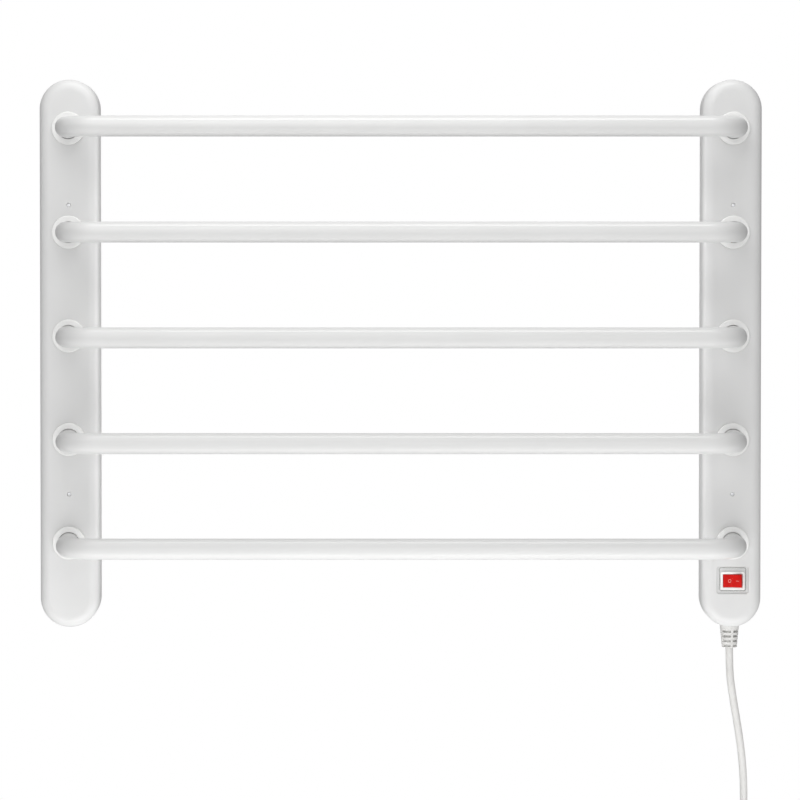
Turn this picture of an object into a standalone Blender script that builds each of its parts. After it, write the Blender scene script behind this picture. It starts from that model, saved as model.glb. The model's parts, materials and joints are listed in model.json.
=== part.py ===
"""Wall-mounted electric towel rail: two columns, five tubes with bent ends, a rocker switch and a cord.

The wall is the plane y = 0, the rail stands out towards -Y, +X is to the right and +Z is up. The origin
is on the wall, midway between the columns, at half their height.
"""

import math

import bmesh
import bpy
from mathutils import Vector

MM = 0.001
GAP = 0.3 * MM

# Columns
COLUMN_X = 307.5 * MM
COLUMN_WIDTH = 55 * MM
COLUMN_HEIGHT = 509 * MM
COLUMN_DEPTH = 30 * MM
EDGE_RADIUS = 10 * MM
WALL = 2 * MM
FACE_Y = -COLUMN_DEPTH
INNER_Y = FACE_Y + WALL
END_Z = COLUMN_HEIGHT / 2
PLATE_FRONT = -2.3 * MM
PLATE_BACK = -0.5 * MM

# Tubes, with the top one first
TOP_TUBE_Z = 209 * MM
TUBE_PITCH = 96 * MM
TUBE_COUNT = 5
TUBE_RADIUS = 9.5 * MM
TUBE_WALL = 1.2 * MM
TUBE_Y = -84 * MM
BEND_RADIUS = 28 * MM
LEG_END_Y = -14 * MM

# Collars and the rings that hold them from inside
COLLAR_RADIUS = 15.25 * MM
COLLAR_HEIGHT = 3 * MM
COLLAR_CHAMFER = 0.9 * MM
BORE_RADIUS = TUBE_RADIUS + 0.8 * MM
NECK_RADIUS = 11.2 * MM
NECK_END_Y = -24 * MM
NUT_RADIUS = 15 * MM
NUT_THICKNESS = 3 * MM

# Wall brackets and the screws that lock the columns to them
LOCK_HEIGHTS = {"upper": 138 * MM, "lower": -130 * MM}
BRACKET_SIZE = (30 * MM, 34 * MM)
BRACKET_THICKNESS = 2.5 * MM
BOSS_SIDE = 12 * MM
BOSS_END_Y = -27.5 * MM
LOCK_RADIUS = 1.5 * MM
LOCK_LENGTH = 14 * MM
LOCK_DEPTH = 1.2 * MM
SOCKET_RADIUS = 0.75 * MM
SOCKET_DEPTH = 1.6 * MM
WALL_HOLE_OFFSET = 12 * MM
WALL_HOLE_RADIUS = 2.1 * MM

# Switch, in its pocket at the foot of the right column
SWITCH_X = 308 * MM
SWITCH_Z = -210.4 * MM
POCKET_MOUTH = (29.6 * MM, 25.5 * MM)
POCKET_FLOOR = (28.6 * MM, 24.9 * MM)
POCKET_RISE = 0.1 * MM
POCKET_DEPTH = 1.5 * MM
POCKET_WALL = 1.8 * MM
FLOOR_Y = FACE_Y + POCKET_DEPTH
SWITCH_BODY = (19.8 * MM, 15.4 * MM)
SWITCH_BEZEL = (22.4 * MM, 17 * MM)
SWITCH_INSIDE = (18.2 * MM, 12.3 * MM)
BEZEL_THICKNESS = 1.8 * MM
SWITCH_END_Y = -14 * MM
SWITCH_BASE = 1.2 * MM
PIVOT_Y = -29 * MM
ROCKER_WIDTH = 11.8 * MM
ROCKER_RADIUS = 8.9 * MM
ROCKER_TILT = math.radians(10)
ROCKER_STEM = 10.8 * MM
CONTACT_Y = -17.5 * MM
CONTACT_TILT = math.radians(7)
CONTACT_SIZE = (13 * MM, 0.6 * MM, 6 * MM)
BLADE_SIZE = (0.8 * MM, 4.8 * MM)
BLADE_END_Y = -4 * MM
BLADE_Y = -6.2 * MM
LOAD_BLADE_X = SWITCH_X - 5 * MM
BOOT_SIZE = (25 * MM, 22 * MM)
BOOT_WALL = 0.6 * MM
BOOT_FRONT_Y = FACE_Y - 4.9 * MM

# Cord and its strain relief
CORD_RADIUS = 3.5 * MM
CORD_X = 307 * MM
CORD_Y = -15 * MM
CORD_TOP_Z = -244.2 * MM
RELIEF_TOP_RADIUS = 8.8 * MM
RELIEF_END_RADIUS = 7 * MM
RELIEF_END_Z = -274 * MM
RELIEF_NECK_RADIUS = 6.4 * MM
RELIEF_FLANGE_RADIUS = 8.4 * MM
RELIEF_SLOT = 1.9 * MM
RELIEF_PITCH = 4.45 * MM
RELIEF_CORE = 5 * MM
FIRST_RIB = math.radians(-78)
HALF_RIB = math.radians(11)
FLOOR_Z = -470 * MM

# The coil on the floor, and the plug beside it
COIL_X = 278.5 * MM
COIL_Y = -50 * MM
COIL_RADIUS = 35.5 * MM
COIL_SECTION = (21 * MM, 14.4 * MM)
PLUG_X = 160 * MM
PLUG_Y = -70 * MM
PLUG_RADIUS = 17.5 * MM
PIN_RADIUS = 2.4 * MM
PIN_LENGTH = 19 * MM
PIN_SPACING = 19 * MM

# Wiring
CABLE_RADIUS = 2 * MM
LEAD_RADIUS = 0.9 * MM
RETURN_RADIUS = 1.2 * MM
WIRE_Y = -9.5 * MM
SIDE_STEP = 14.5 * MM
BLOCK_X = 289.5 * MM
BLOCK_TOP = -193.7 * MM
BLOCK_BOTTOM = -216 * MM


def clear_scene():
    for item in list(bpy.data.objects):
        bpy.data.objects.remove(item)


def new_collection(name):
    made = bpy.data.collections.new(name)
    bpy.context.scene.collection.children.link(made)
    return made


def material(name, colour, roughness, metallic=0.0, alpha=1.0):
    made = bpy.data.materials.new(name)
    made.use_nodes = True
    shader = made.node_tree.nodes["Principled BSDF"]
    shader.inputs["Base Color"].default_value = (*colour, 1)
    shader.inputs["Roughness"].default_value = roughness
    shader.inputs["Metallic"].default_value = metallic
    shader.inputs["Alpha"].default_value = alpha
    made.diffuse_color = (*colour, alpha)
    return made


def finish(item, surface, collection):
    """Puts an object in its collection with its material, or hides it if it is a cutter."""
    collection.objects.link(item)
    if surface is None:
        item.hide_render = True
        item.display_type = "WIRE"
    else:
        item.data.materials.append(surface)
    return item


def from_bmesh(name, shape, surface, collection, smooth=False):
    mesh = bpy.data.meshes.new(name)
    bmesh.ops.recalc_face_normals(shape, faces=shape.faces)
    shape.to_mesh(mesh)
    shape.free()
    if smooth:
        mesh.shade_smooth()
        mesh.set_sharp_from_angle(angle=math.radians(35))
    return finish(bpy.data.objects.new(name, mesh), surface, collection)


def box(name, low, high, surface, collection):
    shape = bmesh.new()
    bmesh.ops.create_cube(shape, size=1)
    for vertex in shape.verts:
        for axis in range(3):
            vertex.co[axis] = low[axis] if vertex.co[axis] < 0 else high[axis]
    return from_bmesh(name, shape, surface, collection)


def cylinder(name, start, end, radius, sides, surface, collection, end_radius=None):
    """A cylinder, or a cone, from one point to another."""
    start, end = Vector(start), Vector(end)
    along = end - start
    shape = bmesh.new()
    bmesh.ops.create_cone(
        shape,
        cap_ends=True,
        segments=sides,
        radius1=radius,
        radius2=radius if end_radius is None else end_radius,
        depth=along.length,
    )
    shape.transform(along.to_track_quat("Z", "Y").to_matrix().to_4x4())
    bmesh.ops.translate(shape, verts=shape.verts, vec=(start + end) / 2)
    return from_bmesh(name, shape, surface, collection, smooth=True)


def rounded_outline(width, height, radius, steps, centre=(0, 0)):
    """The (x, z) points of a rectangle with round corners; full corners make it a stadium."""
    points = []
    for corner, (side, up) in enumerate(((1, 1), (-1, 1), (-1, -1), (1, -1))):
        x = centre[0] + side * (width / 2 - radius)
        z = centre[1] + up * (height / 2 - radius)
        for step in range(steps + 1):
            angle = math.pi / 2 * (corner + step / steps)
            points.append((x + radius * math.cos(angle), z + radius * math.sin(angle)))
    return points


def prism_shape(outline, front, back):
    """A flat (x, z) outline carried from y = front to y = back."""
    shape = bmesh.new()
    shape.faces.new([shape.verts.new((x, front, z)) for x, z in outline])
    bmesh.ops.remove_doubles(shape, verts=shape.verts, dist=1e-6)
    moved = bmesh.ops.extrude_face_region(shape, geom=list(shape.faces))["geom"]
    corners = [part for part in moved if isinstance(part, bmesh.types.BMVert)]
    bmesh.ops.translate(shape, verts=corners, vec=(0, back - front, 0))
    bmesh.ops.recalc_face_normals(shape, faces=shape.faces)
    return shape


def prism(name, outline, front, back, surface, collection):
    return from_bmesh(name, prism_shape(outline, front, back), surface, collection)


def turned(name, profile, steps, surface, collection, closed=True):
    """A profile of (radius, height) points, listed down its outer side, turned about its own Z axis."""
    mesh = bpy.data.meshes.new(name)
    edges = [(i, i + 1) for i in range(len(profile) - 1)]
    if closed:
        edges.append((len(profile) - 1, 0))
    mesh.from_pydata([(r, 0, z) for r, z in profile], edges, [])
    item = finish(bpy.data.objects.new(name, mesh), surface, collection)
    screw = item.modifiers.new("turn", "SCREW")
    screw.steps = steps
    screw.render_steps = steps
    screw.use_merge_vertices = True
    screw.merge_threshold = 0.01 * MM
    screw.use_smooth_shade = True
    return item


def wire(name, points, radius, rounding, surface, collection, capped=True, thick_start=1.0):
    """A round wire or tube that follows a list of points; its first stretch can be a thicker sleeve."""
    curve = bpy.data.curves.new(name, "CURVE")
    curve.dimensions = "3D"
    spline = curve.splines.new("POLY")
    spline.points.add(len(points) - 1)
    for spot, place in zip(spline.points, points):
        spot.co = (*place, 1)
    for spot in spline.points[:2]:
        spot.radius = thick_start
    curve.bevel_depth = radius
    curve.bevel_resolution = rounding
    curve.use_fill_caps = capped
    return finish(bpy.data.objects.new(name, curve), surface, collection)


def rounded_path(corners, radii, steps):
    """Straight runs between corners, with an arc of the stated radius at each inner corner."""
    corners = [Vector(corner) for corner in corners]
    path = [corners[0]]
    for before, corner, after, radius in zip(corners, corners[1:], corners[2:], radii):
        away, onward = (before - corner).normalized(), (after - corner).normalized()
        half = away.angle(onward) / 2
        reach = radius / math.tan(half)
        centre = corner + (away + onward).normalized() * radius / math.sin(half)
        first, last = corner + away * reach - centre, corner + onward * reach - centre
        turns = [first.slerp(last, step / steps) for step in range(steps + 1)]
        path += [centre + turn.normalized() * radius for turn in turns]
    return path + [corners[-1]]


def smooth_path(route, spacing):
    """Evenly spaced points along a Catmull-Rom curve through a cord's route points."""
    route = [Vector(place) for place in route]
    ends = [2 * route[0] - route[1], *route, 2 * route[-1] - route[-2]]
    fine = []
    for a, b, c, d in zip(ends, ends[1:], ends[2:], ends[3:]):
        for step in range(40):
            t = step / 40
            squared, cubed = 2 * a - 5 * b + 4 * c - d, 3 * b - a - 3 * c + d
            fine.append(0.5 * (2 * b + (c - a) * t + squared * t**2 + cubed * t**3))
    fine.append(route[-1])
    length = sum((q - p).length for p, q in zip(fine, fine[1:]))
    count = round(length / spacing)
    points, walked = [fine[0]], 0.0
    for p, q in zip(fine, fine[1:]):
        step = (q - p).length
        while len(points) < count and walked + step >= len(points) * length / count:
            share = (len(points) * length / count - walked) / step
            points.append(p.lerp(q, share))
        walked += step
    return points + [fine[-1]]


def boolean(item, tool, operation="DIFFERENCE"):
    change = item.modifiers.new(tool.name, "BOOLEAN")
    change.operation = operation
    change.solver = "EXACT"
    change.object = tool


def all_at(part, y):
    """Whether every corner of an edge or face lies in the plane y."""
    return all(abs(vertex.co.y - y) < 1e-6 for vertex in part.verts)


def column_shape(outset, back):
    """The column's outer form: a stadium with a soft front edge."""
    outline = rounded_outline(
        COLUMN_WIDTH + 2 * outset, COLUMN_HEIGHT + 2 * outset, COLUMN_WIDTH / 2 + outset, 6
    )
    front = FACE_Y - outset
    shape = prism_shape(outline, front, back)
    rim = [edge for edge in shape.edges if all_at(edge, front)]
    bmesh.ops.bevel(
        shape,
        geom=rim,
        offset=EDGE_RADIUS + outset,
        offset_type="OFFSET",
        segments=3,
        profile=0.5,
        affect="EDGES",
    )
    return shape


def cover(side, x, surface, parts, cutters):
    """A column's shell, open at the wall, with its holes for collars and lock screws."""
    shape = column_shape(0, 0)
    open_faces = [face for face in shape.faces if all_at(face, 0)]
    bmesh.ops.delete(shape, geom=open_faces, context="FACES")
    item = from_bmesh(side + "_cover", shape, surface, parts, smooth=True)
    item.location.x = x
    skin = item.modifiers.new("skin", "SOLIDIFY")
    skin.thickness = WALL
    skin.offset = -1
    skin.use_even_offset = True
    for number in range(TUBE_COUNT):
        z = TOP_TUBE_Z - number * TUBE_PITCH
        hole = cylinder(
            f"{side}_collar_hole_{number + 1}",
            (x, FACE_Y - WALL, z),
            (x, INNER_Y + WALL, z),
            NECK_RADIUS + GAP,
            16,
            None,
            cutters,
        )
        boolean(item, hole)
    for level, z in LOCK_HEIGHTS.items():
        hole = cylinder(
            f"{side}_lock_hole_{level}",
            (x, FACE_Y - WALL, z),
            (x, INNER_Y + WALL, z),
            LOCK_RADIUS + GAP,
            12,
            None,
            cutters,
        )
        boolean(item, hole)
    return item


def frustum(name, mouth, floor, centre, front, back, surface, collection):
    """A block whose mouth and floor rectangles differ; the floor's centre may sit higher."""
    shape = bmesh.new()
    bmesh.ops.create_cube(shape, size=2)
    for vertex in shape.verts:
        size = mouth if vertex.co.y < 0 else floor
        rise = 0 if vertex.co.y < 0 else POCKET_RISE
        vertex.co.x = centre[0] + vertex.co.x * size[0] / 2
        vertex.co.z = centre[1] + rise + vertex.co.z * size[1] / 2
        vertex.co.y = front if vertex.co.y < 0 else back
    return from_bmesh(name, shape, surface, collection)


def add_pocket(item, cutters):
    """Gives the right cover the switch pocket and the strain relief's hole."""
    mouth_centre = (SWITCH_X, SWITCH_Z + 0.5 * MM)
    outer = (POCKET_MOUTH[0] + 2 * POCKET_WALL, POCKET_MOUTH[1] + 2 * POCKET_WALL)
    backing = box(
        "pocket_backing",
        (mouth_centre[0] - outer[0] / 2, FACE_Y + 0.9 * WALL, mouth_centre[1] - outer[1] / 2),
        (mouth_centre[0] + outer[0] / 2, FLOOR_Y + POCKET_WALL, mouth_centre[1] + outer[1] / 2),
        None,
        cutters,
    )
    boolean(item, backing, "UNION")
    pocket = frustum(
        "pocket", POCKET_MOUTH, POCKET_FLOOR, mouth_centre, FACE_Y - 0.01 * MM, FLOOR_Y, None, cutters
    )
    boolean(item, pocket)
    window = box(
        "switch_window",
        (SWITCH_X - SWITCH_BODY[0] / 2 - GAP, FLOOR_Y - MM, SWITCH_Z - SWITCH_BODY[1] / 2 - GAP),
        (
            SWITCH_X + SWITCH_BODY[0] / 2 + GAP,
            FLOOR_Y + 2 * POCKET_WALL,
            SWITCH_Z + SWITCH_BODY[1] / 2 + GAP,
        ),
        None,
        cutters,
    )
    boolean(item, window)
    relief_hole = cylinder(
        "relief_hole",
        (CORD_X, CORD_Y, -END_Z - WALL),
        (CORD_X, CORD_Y, -END_Z + 2.5 * WALL),
        RELIEF_NECK_RADIUS + GAP,
        16,
        None,
        cutters,
    )
    boolean(item, relief_hole)


def back_plate(side, x, surface, parts, cutters):
    inset = WALL + GAP
    outline = rounded_outline(
        COLUMN_WIDTH - 2 * inset, COLUMN_HEIGHT - 2 * inset, COLUMN_WIDTH / 2 - inset, 6, (x, 0)
    )
    item = prism(side + "_back_plate", outline, PLATE_FRONT, PLATE_BACK, surface, parts)
    for level, z in LOCK_HEIGHTS.items():
        half_x, half_z = (side_length / 2 + GAP for side_length in BRACKET_SIZE)
        window = box(
            f"{side}_bracket_window_{level}",
            (x - half_x, 2 * PLATE_FRONT, z - half_z),
            (x + half_x, -PLATE_FRONT, z + half_z),
            None,
            cutters,
        )
        boolean(item, window)


def bracket(side, level, x, z, surface, parts, cutters):
    """A wall bracket: a plate with two screw holes, and a boss that the lock screw enters."""
    name = f"{side}_bracket_{level}"
    half_x, half_z = BRACKET_SIZE[0] / 2, BRACKET_SIZE[1] / 2
    item = box(
        name, (x - half_x, -BRACKET_THICKNESS, z - half_z), (x + half_x, 0, z + half_z), surface, parts
    )
    half = BOSS_SIDE / 2
    boss = box(
        name + "_boss",
        (x - half, BOSS_END_Y, z - half),
        (x + half, -BRACKET_THICKNESS / 2, z + half),
        None,
        cutters,
    )
    boolean(item, boss, "UNION")
    lock_end = FACE_Y + LOCK_DEPTH + LOCK_LENGTH
    bore = cylinder(
        name + "_bore", (x, FACE_Y, z), (x, lock_end + MM, z), LOCK_RADIUS + GAP, 12, None, cutters
    )
    boolean(item, bore)
    for number, up in enumerate((1, -1)):
        at = z + up * WALL_HOLE_OFFSET
        front = -BRACKET_THICKNESS - MM
        hole = cylinder(
            f"{name}_hole_{number}", (x, front, at), (x, MM, at), WALL_HOLE_RADIUS, 12, None, cutters
        )
        boolean(item, hole)


def lock_screw(side, level, x, z, surface, parts, cutters):
    name = f"{side}_lock_screw_{level}"
    front = FACE_Y + LOCK_DEPTH
    item = cylinder(name, (x, front, z), (x, front + LOCK_LENGTH, z), LOCK_RADIUS, 12, surface, parts)
    socket = cylinder(
        name + "_socket",
        (x, front - MM, z),
        (x, front + SOCKET_DEPTH, z),
        SOCKET_RADIUS,
        6,
        None,
        cutters,
    )
    boolean(item, socket)


def rail_tube(number, z, surface, parts):
    corners = (
        (-COLUMN_X, LEG_END_Y, z),
        (-COLUMN_X, TUBE_Y, z),
        (COLUMN_X, TUBE_Y, z),
        (COLUMN_X, LEG_END_Y, z),
    )
    path = rounded_path(corners, (BEND_RADIUS, BEND_RADIUS), 5)
    item = wire(f"rail_tube_{number}", path, TUBE_RADIUS, 4, surface, parts, capped=False)
    wall = item.modifiers.new("wall", "SOLIDIFY")
    wall.thickness = TUBE_WALL
    wall.offset = -1


def collar(side, number, x, z, surface, parts):
    """Turned about its own Z axis, then laid so that it points out of the column."""
    base = GAP
    top = base + COLLAR_HEIGHT
    neck = FACE_Y - NECK_END_Y
    profile = (
        (BORE_RADIUS, top),
        (COLLAR_RADIUS - COLLAR_CHAMFER, top),
        (COLLAR_RADIUS, top - COLLAR_CHAMFER),
        (COLLAR_RADIUS, base),
        (NECK_RADIUS, base),
        (NECK_RADIUS, neck),
        (BORE_RADIUS, neck),
    )
    item = turned(f"{side}_collar_{number}", profile, 16, surface, parts)
    item.location = (x, FACE_Y, z)
    item.rotation_euler.x = math.pi / 2


def retaining_nut(side, number, x, z, surface, parts):
    high = -WALL - GAP
    inner = NECK_RADIUS + 2.5 * GAP
    profile = (
        (inner, high),
        (NUT_RADIUS, high),
        (NUT_RADIUS, high - NUT_THICKNESS),
        (inner, high - NUT_THICKNESS),
    )
    item = turned(f"{side}_nut_{number}", profile, 12, surface, parts)
    item.location = (x, FACE_Y, z)
    item.rotation_euler.x = math.pi / 2


def centred_box(name, size, front, back, surface, collection, x=SWITCH_X, z=SWITCH_Z):
    """A block seen as a rectangle from the front, centred on the switch unless told otherwise."""
    return box(
        name,
        (x - size[0] / 2, front, z - size[1] / 2),
        (x + size[0] / 2, back, z + size[1] / 2),
        surface,
        collection,
    )


def switch_housing(surface, parts, cutters):
    """The white frame and the box behind it, open in front, with slots for the two blades."""
    front = FLOOR_Y - GAP - BEZEL_THICKNESS
    outline = rounded_outline(*SWITCH_BEZEL, 1.2 * MM, 2, (SWITCH_X, SWITCH_Z))
    item = prism("switch_housing", outline, front, FLOOR_Y - GAP, surface, parts)
    body = centred_box("switch_body", SWITCH_BODY, front + MM, SWITCH_END_Y, None, cutters)
    boolean(item, body, "UNION")
    inside = centred_box(
        "switch_inside", SWITCH_INSIDE, front - MM, SWITCH_END_Y - SWITCH_BASE, None, cutters
    )
    boolean(item, inside)
    half = SWITCH_INSIDE[1] / 2 + 0.6 * MM
    pins = cylinder(
        "pivot_sockets",
        (SWITCH_X, PIVOT_Y, SWITCH_Z - half),
        (SWITCH_X, PIVOT_Y, SWITCH_Z + half),
        1.3 * MM,
        12,
        None,
        cutters,
    )
    boolean(item, pins)
    slot = tuple(side + 2 * GAP for side in BLADE_SIZE)
    for label, x in (("live", SWITCH_X), ("load", LOAD_BLADE_X)):
        front, back = SWITCH_END_Y - 2 * SWITCH_BASE, SWITCH_END_Y + MM
        boolean(item, centred_box(label + "_slot", slot, front, back, None, cutters, x=x))


def arc_points(radius, start, end, steps):
    """(x, y) points of an arc about the rocker's pivot, with the angle counted from +X towards +Y."""
    angles = [start + (end - start) * step / steps for step in range(steps + 1)]
    return [(radius * math.cos(angle), radius * math.sin(angle)) for angle in angles]


def rocker(surface, parts, cutters):
    """A see-saw key with a V face, ends rounded about the pivot, a stem and two pivot pins."""
    rim = 3.35 * MM
    valley = 1.85 * MM
    skirt = 2.2 * MM
    up, down = math.asin(rim / ROCKER_RADIUS), math.asin(skirt / ROCKER_RADIUS)
    right = arc_points(ROCKER_RADIUS, -up, down, 4)
    left = [(-x, y) for x, y in reversed(right)]
    stem = [(2 * MM, 3.2 * MM), (1 * MM, ROCKER_STEM), (-1 * MM, ROCKER_STEM), (-2 * MM, 3.2 * MM)]
    outline = [(0, -valley), *right, *stem, *left]
    shape = bmesh.new()
    shape.faces.new([shape.verts.new((x, y, -ROCKER_WIDTH / 2)) for x, y in outline])
    moved = bmesh.ops.extrude_face_region(shape, geom=list(shape.faces))["geom"]
    corners = [part for part in moved if isinstance(part, bmesh.types.BMVert)]
    bmesh.ops.translate(shape, verts=corners, vec=(0, 0, ROCKER_WIDTH))
    item = from_bmesh("switch_rocker", shape, surface, parts)
    reach = ROCKER_WIDTH / 2 + 0.55 * MM
    pins = cylinder("rocker_pins", (0, 0, -reach), (0, 0, reach), 1 * MM, 12, None, cutters)
    place(pins, (SWITCH_X, PIVOT_Y, SWITCH_Z), -ROCKER_TILT)
    place(item, (SWITCH_X, PIVOT_Y, SWITCH_Z), -ROCKER_TILT)
    boolean(item, pins, "UNION")


def place(item, where, turn):
    item.location = where
    item.rotation_euler.z = turn


def contact(surface, parts):
    """The see-saw blade under the stem, tipped the other way from the rocker."""
    length, thickness, width = CONTACT_SIZE
    low = (-length / 2, -thickness / 2, -width / 2)
    item = box("switch_contact", low, tuple(-side for side in low), surface, parts)
    place(item, (SWITCH_X, CONTACT_Y, SWITCH_Z), CONTACT_TILT)


def boot(surface, parts):
    """The clear splash cover over the rocker: a soft-edged cap, open behind."""
    centre = (SWITCH_X, SWITCH_Z + 1.3 * MM)
    shape = prism_shape(rounded_outline(*BOOT_SIZE, 2 * MM, 3, centre), BOOT_FRONT_Y, FLOOR_Y - GAP)
    rim = [edge for edge in shape.edges if all_at(edge, BOOT_FRONT_Y)]
    bmesh.ops.bevel(shape, geom=rim, offset=1 * MM, segments=2, profile=0.5, affect="EDGES")
    behind = [face for face in shape.faces if all_at(face, FLOOR_Y - GAP)]
    bmesh.ops.delete(shape, geom=behind, context="FACES")
    item = from_bmesh("switch_boot", shape, surface, parts, smooth=True)
    skin = item.modifiers.new("skin", "SOLIDIFY")
    skin.thickness = BOOT_WALL
    skin.offset = -1
    skin.use_even_offset = True


def blades(surface, parts):
    """The switch's two terminals: the contact rocks on one and closes on the other."""
    live_front = CONTACT_Y + CONTACT_SIZE[1] / 2 + GAP
    closed = CONTACT_Y + math.tan(CONTACT_TILT) * (SWITCH_X - LOAD_BLADE_X) + CONTACT_SIZE[1] / 2 + GAP
    centred_box("live_terminal", BLADE_SIZE, live_front, BLADE_END_Y, surface, parts)
    load_front = closed + 0.1 * MM
    centred_box("load_terminal", BLADE_SIZE, load_front, BLADE_END_Y, surface, parts, x=LOAD_BLADE_X)


def sector_shape(inner, outer, start, end, low, high, centre):
    """A flat arc-shaped slab, for cutting slots with solid ribs between them."""
    steps = 4
    angles = [start + (end - start) * step / steps for step in range(steps + 1)]
    ring = [(inner * math.cos(a), inner * math.sin(a)) for a in angles]
    ring += [(outer * math.cos(a), outer * math.sin(a)) for a in reversed(angles)]
    shape = bmesh.new()
    shape.faces.new([shape.verts.new((centre[0] + x, centre[1] + y, low)) for x, y in ring])
    moved = bmesh.ops.extrude_face_region(shape, geom=list(shape.faces))["geom"]
    corners = [part for part in moved if isinstance(part, bmesh.types.BMVert)]
    bmesh.ops.translate(shape, verts=corners, vec=(0, 0, high - low))
    return shape


def strain_relief(surface, parts, cutters):
    """A tapered sleeve with slots, shaped to the column's round end, and a neck through its wall."""
    top = -END_Z + 2.4 * MM
    axis = (CORD_X, CORD_Y)
    item = cylinder(
        "strain_relief",
        (*axis, RELIEF_END_Z),
        (*axis, top),
        RELIEF_END_RADIUS,
        20,
        surface,
        parts,
        end_radius=RELIEF_TOP_RADIUS,
    )
    saddle = from_bmesh("relief_saddle", column_shape(GAP, 5 * MM), None, cutters)
    saddle.location.x = COLUMN_X
    boolean(item, saddle)
    # Three coaxial cutters inside the column: (name, low end, high end, radius, sides, operation)
    inside = (
        ("relief_neck", -END_Z - 4 * MM, -END_Z + 4.6 * MM, RELIEF_NECK_RADIUS, 16, "UNION"),
        ("relief_flange", -END_Z + 4.2 * MM, -END_Z + 5.8 * MM, RELIEF_FLANGE_RADIUS, 20, "UNION"),
        ("relief_bore", RELIEF_END_Z - MM, -END_Z + 8 * MM, CORD_RADIUS + GAP, 16, "DIFFERENCE"),
    )
    for name, low, high, radius, sides, operation in inside:
        tool = cylinder(name, (*axis, low), (*axis, high), radius, sides, None, cutters)
        boolean(item, tool, operation)
    for level in range(4):
        middle = -END_Z - 4.3 * MM - level * RELIEF_PITCH
        low, high = middle - RELIEF_SLOT / 2, middle + RELIEF_SLOT / 2
        for quarter in range(4):
            rib = FIRST_RIB + quarter * math.pi / 2
            start, end = rib + HALF_RIB, rib + math.pi / 2 - HALF_RIB
            shape = sector_shape(RELIEF_CORE, 12 * MM, start, end, low, high, axis)
            boolean(item, from_bmesh(f"relief_slot_{level}_{quarter}", shape, None, cutters))


def cord_clamp(surface, parts, cutters):
    low = (CORD_X - 9.5 * MM, CORD_Y - 6 * MM, CORD_TOP_Z - 4 * MM)
    high = (CORD_X + 9.5 * MM, CORD_Y + 6 * MM, CORD_TOP_Z + 2.7 * MM)
    item = box("cord_clamp", low, high, surface, parts)
    bore = cylinder(
        "clamp_bore",
        (CORD_X, CORD_Y, CORD_TOP_Z - 6 * MM),
        (CORD_X, CORD_Y, CORD_TOP_Z + 5 * MM),
        CORD_RADIUS + GAP,
        16,
        None,
        cutters,
    )
    boolean(item, bore)


def supply_cord(surface, parts):
    """From the clamp, down through the strain relief and onto the coil."""
    route = (
        (CORD_X, CORD_Y, CORD_TOP_Z),
        (CORD_X, CORD_Y, -258.0 * MM),
        (CORD_X, CORD_Y, -277.0 * MM),
        (307.9 * MM, -15.0 * MM, -301.7 * MM),
        (311.1 * MM, -15.0 * MM, -324.9 * MM),
        (315.0 * MM, -15.0 * MM, -348.2 * MM),
        (318.4 * MM, -14.7 * MM, -372.0 * MM),
        (320.5 * MM, -14.2 * MM, -396.0 * MM),
        (321.0 * MM, -14.0 * MM, -420.0 * MM),
        (321.0 * MM, -16.2 * MM, -435.8 * MM),
        (321.0 * MM, -22.4 * MM, -446.6 * MM),
        (321.0 * MM, -26.9 * MM, -451.1 * MM),
    )
    wire("supply_cord", smooth_path(route, 9 * MM), CORD_RADIUS, 3, surface, parts)


def cord_tail(surface, parts):
    """From the coil's side to the plug, rising from the floor to the plug's middle."""
    lying = FLOOR_Z + CORD_RADIUS
    route = (
        (245.5 * MM, -88.8 * MM, lying),
        (235.0 * MM, -85.4 * MM, lying),
        (218.0 * MM, -79.5 * MM, lying + 0.8 * MM),
        (200.0 * MM, -74.4 * MM, lying + 5.5 * MM),
        (182.0 * MM, -71.2 * MM, lying + 11.8 * MM),
        (170.0 * MM, PLUG_Y, FLOOR_Z + 17.3 * MM),
        (PLUG_X + 2 * GAP, PLUG_Y, FLOOR_Z + PLUG_RADIUS),
    )
    wire("cord_tail", smooth_path(route, 9 * MM), CORD_RADIUS, 3, surface, parts)


def cord_coil(surface, parts):
    """The rest of the cord, wound flat: the outer shape of its turns."""
    half_width, half_height = COIL_SECTION[0] / 2, COIL_SECTION[1] / 2
    cut = 2.6 * MM
    profile = (
        (COIL_RADIUS - half_width + cut, half_height),
        (COIL_RADIUS + half_width - cut, half_height),
        (COIL_RADIUS + half_width, half_height - cut),
        (COIL_RADIUS + half_width, cut - half_height),
        (COIL_RADIUS + half_width - cut, -half_height),
        (COIL_RADIUS - half_width + cut, -half_height),
        (COIL_RADIUS - half_width, cut - half_height),
        (COIL_RADIUS - half_width, half_height - cut),
    )
    item = turned("cord_coil", profile, 24, surface, parts)
    item.location = (COIL_X, COIL_Y, FLOOR_Z + half_height)


def coil_tie(surface, parts, cutters):
    """A band round the coil's turns, on its left."""
    reach = 1.1 * MM
    half_y = 4 * MM
    outer, inner = (COIL_X - COIL_RADIUS + side * COIL_SECTION[0] / 2 for side in (-1, 1))
    top = FLOOR_Z + COIL_SECTION[1]
    low = (outer - reach, COIL_Y - half_y, FLOOR_Z - reach)
    high = (inner + reach + 2 * GAP, COIL_Y + half_y, top + reach)
    item = box("coil_tie", low, high, surface, parts)
    hole = box(
        "tie_hole",
        (outer - GAP, COIL_Y - 2 * half_y, FLOOR_Z - GAP),
        (inner + 3 * GAP, COIL_Y + 2 * half_y, top + GAP),
        None,
        cutters,
    )
    boolean(item, hole)


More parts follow.
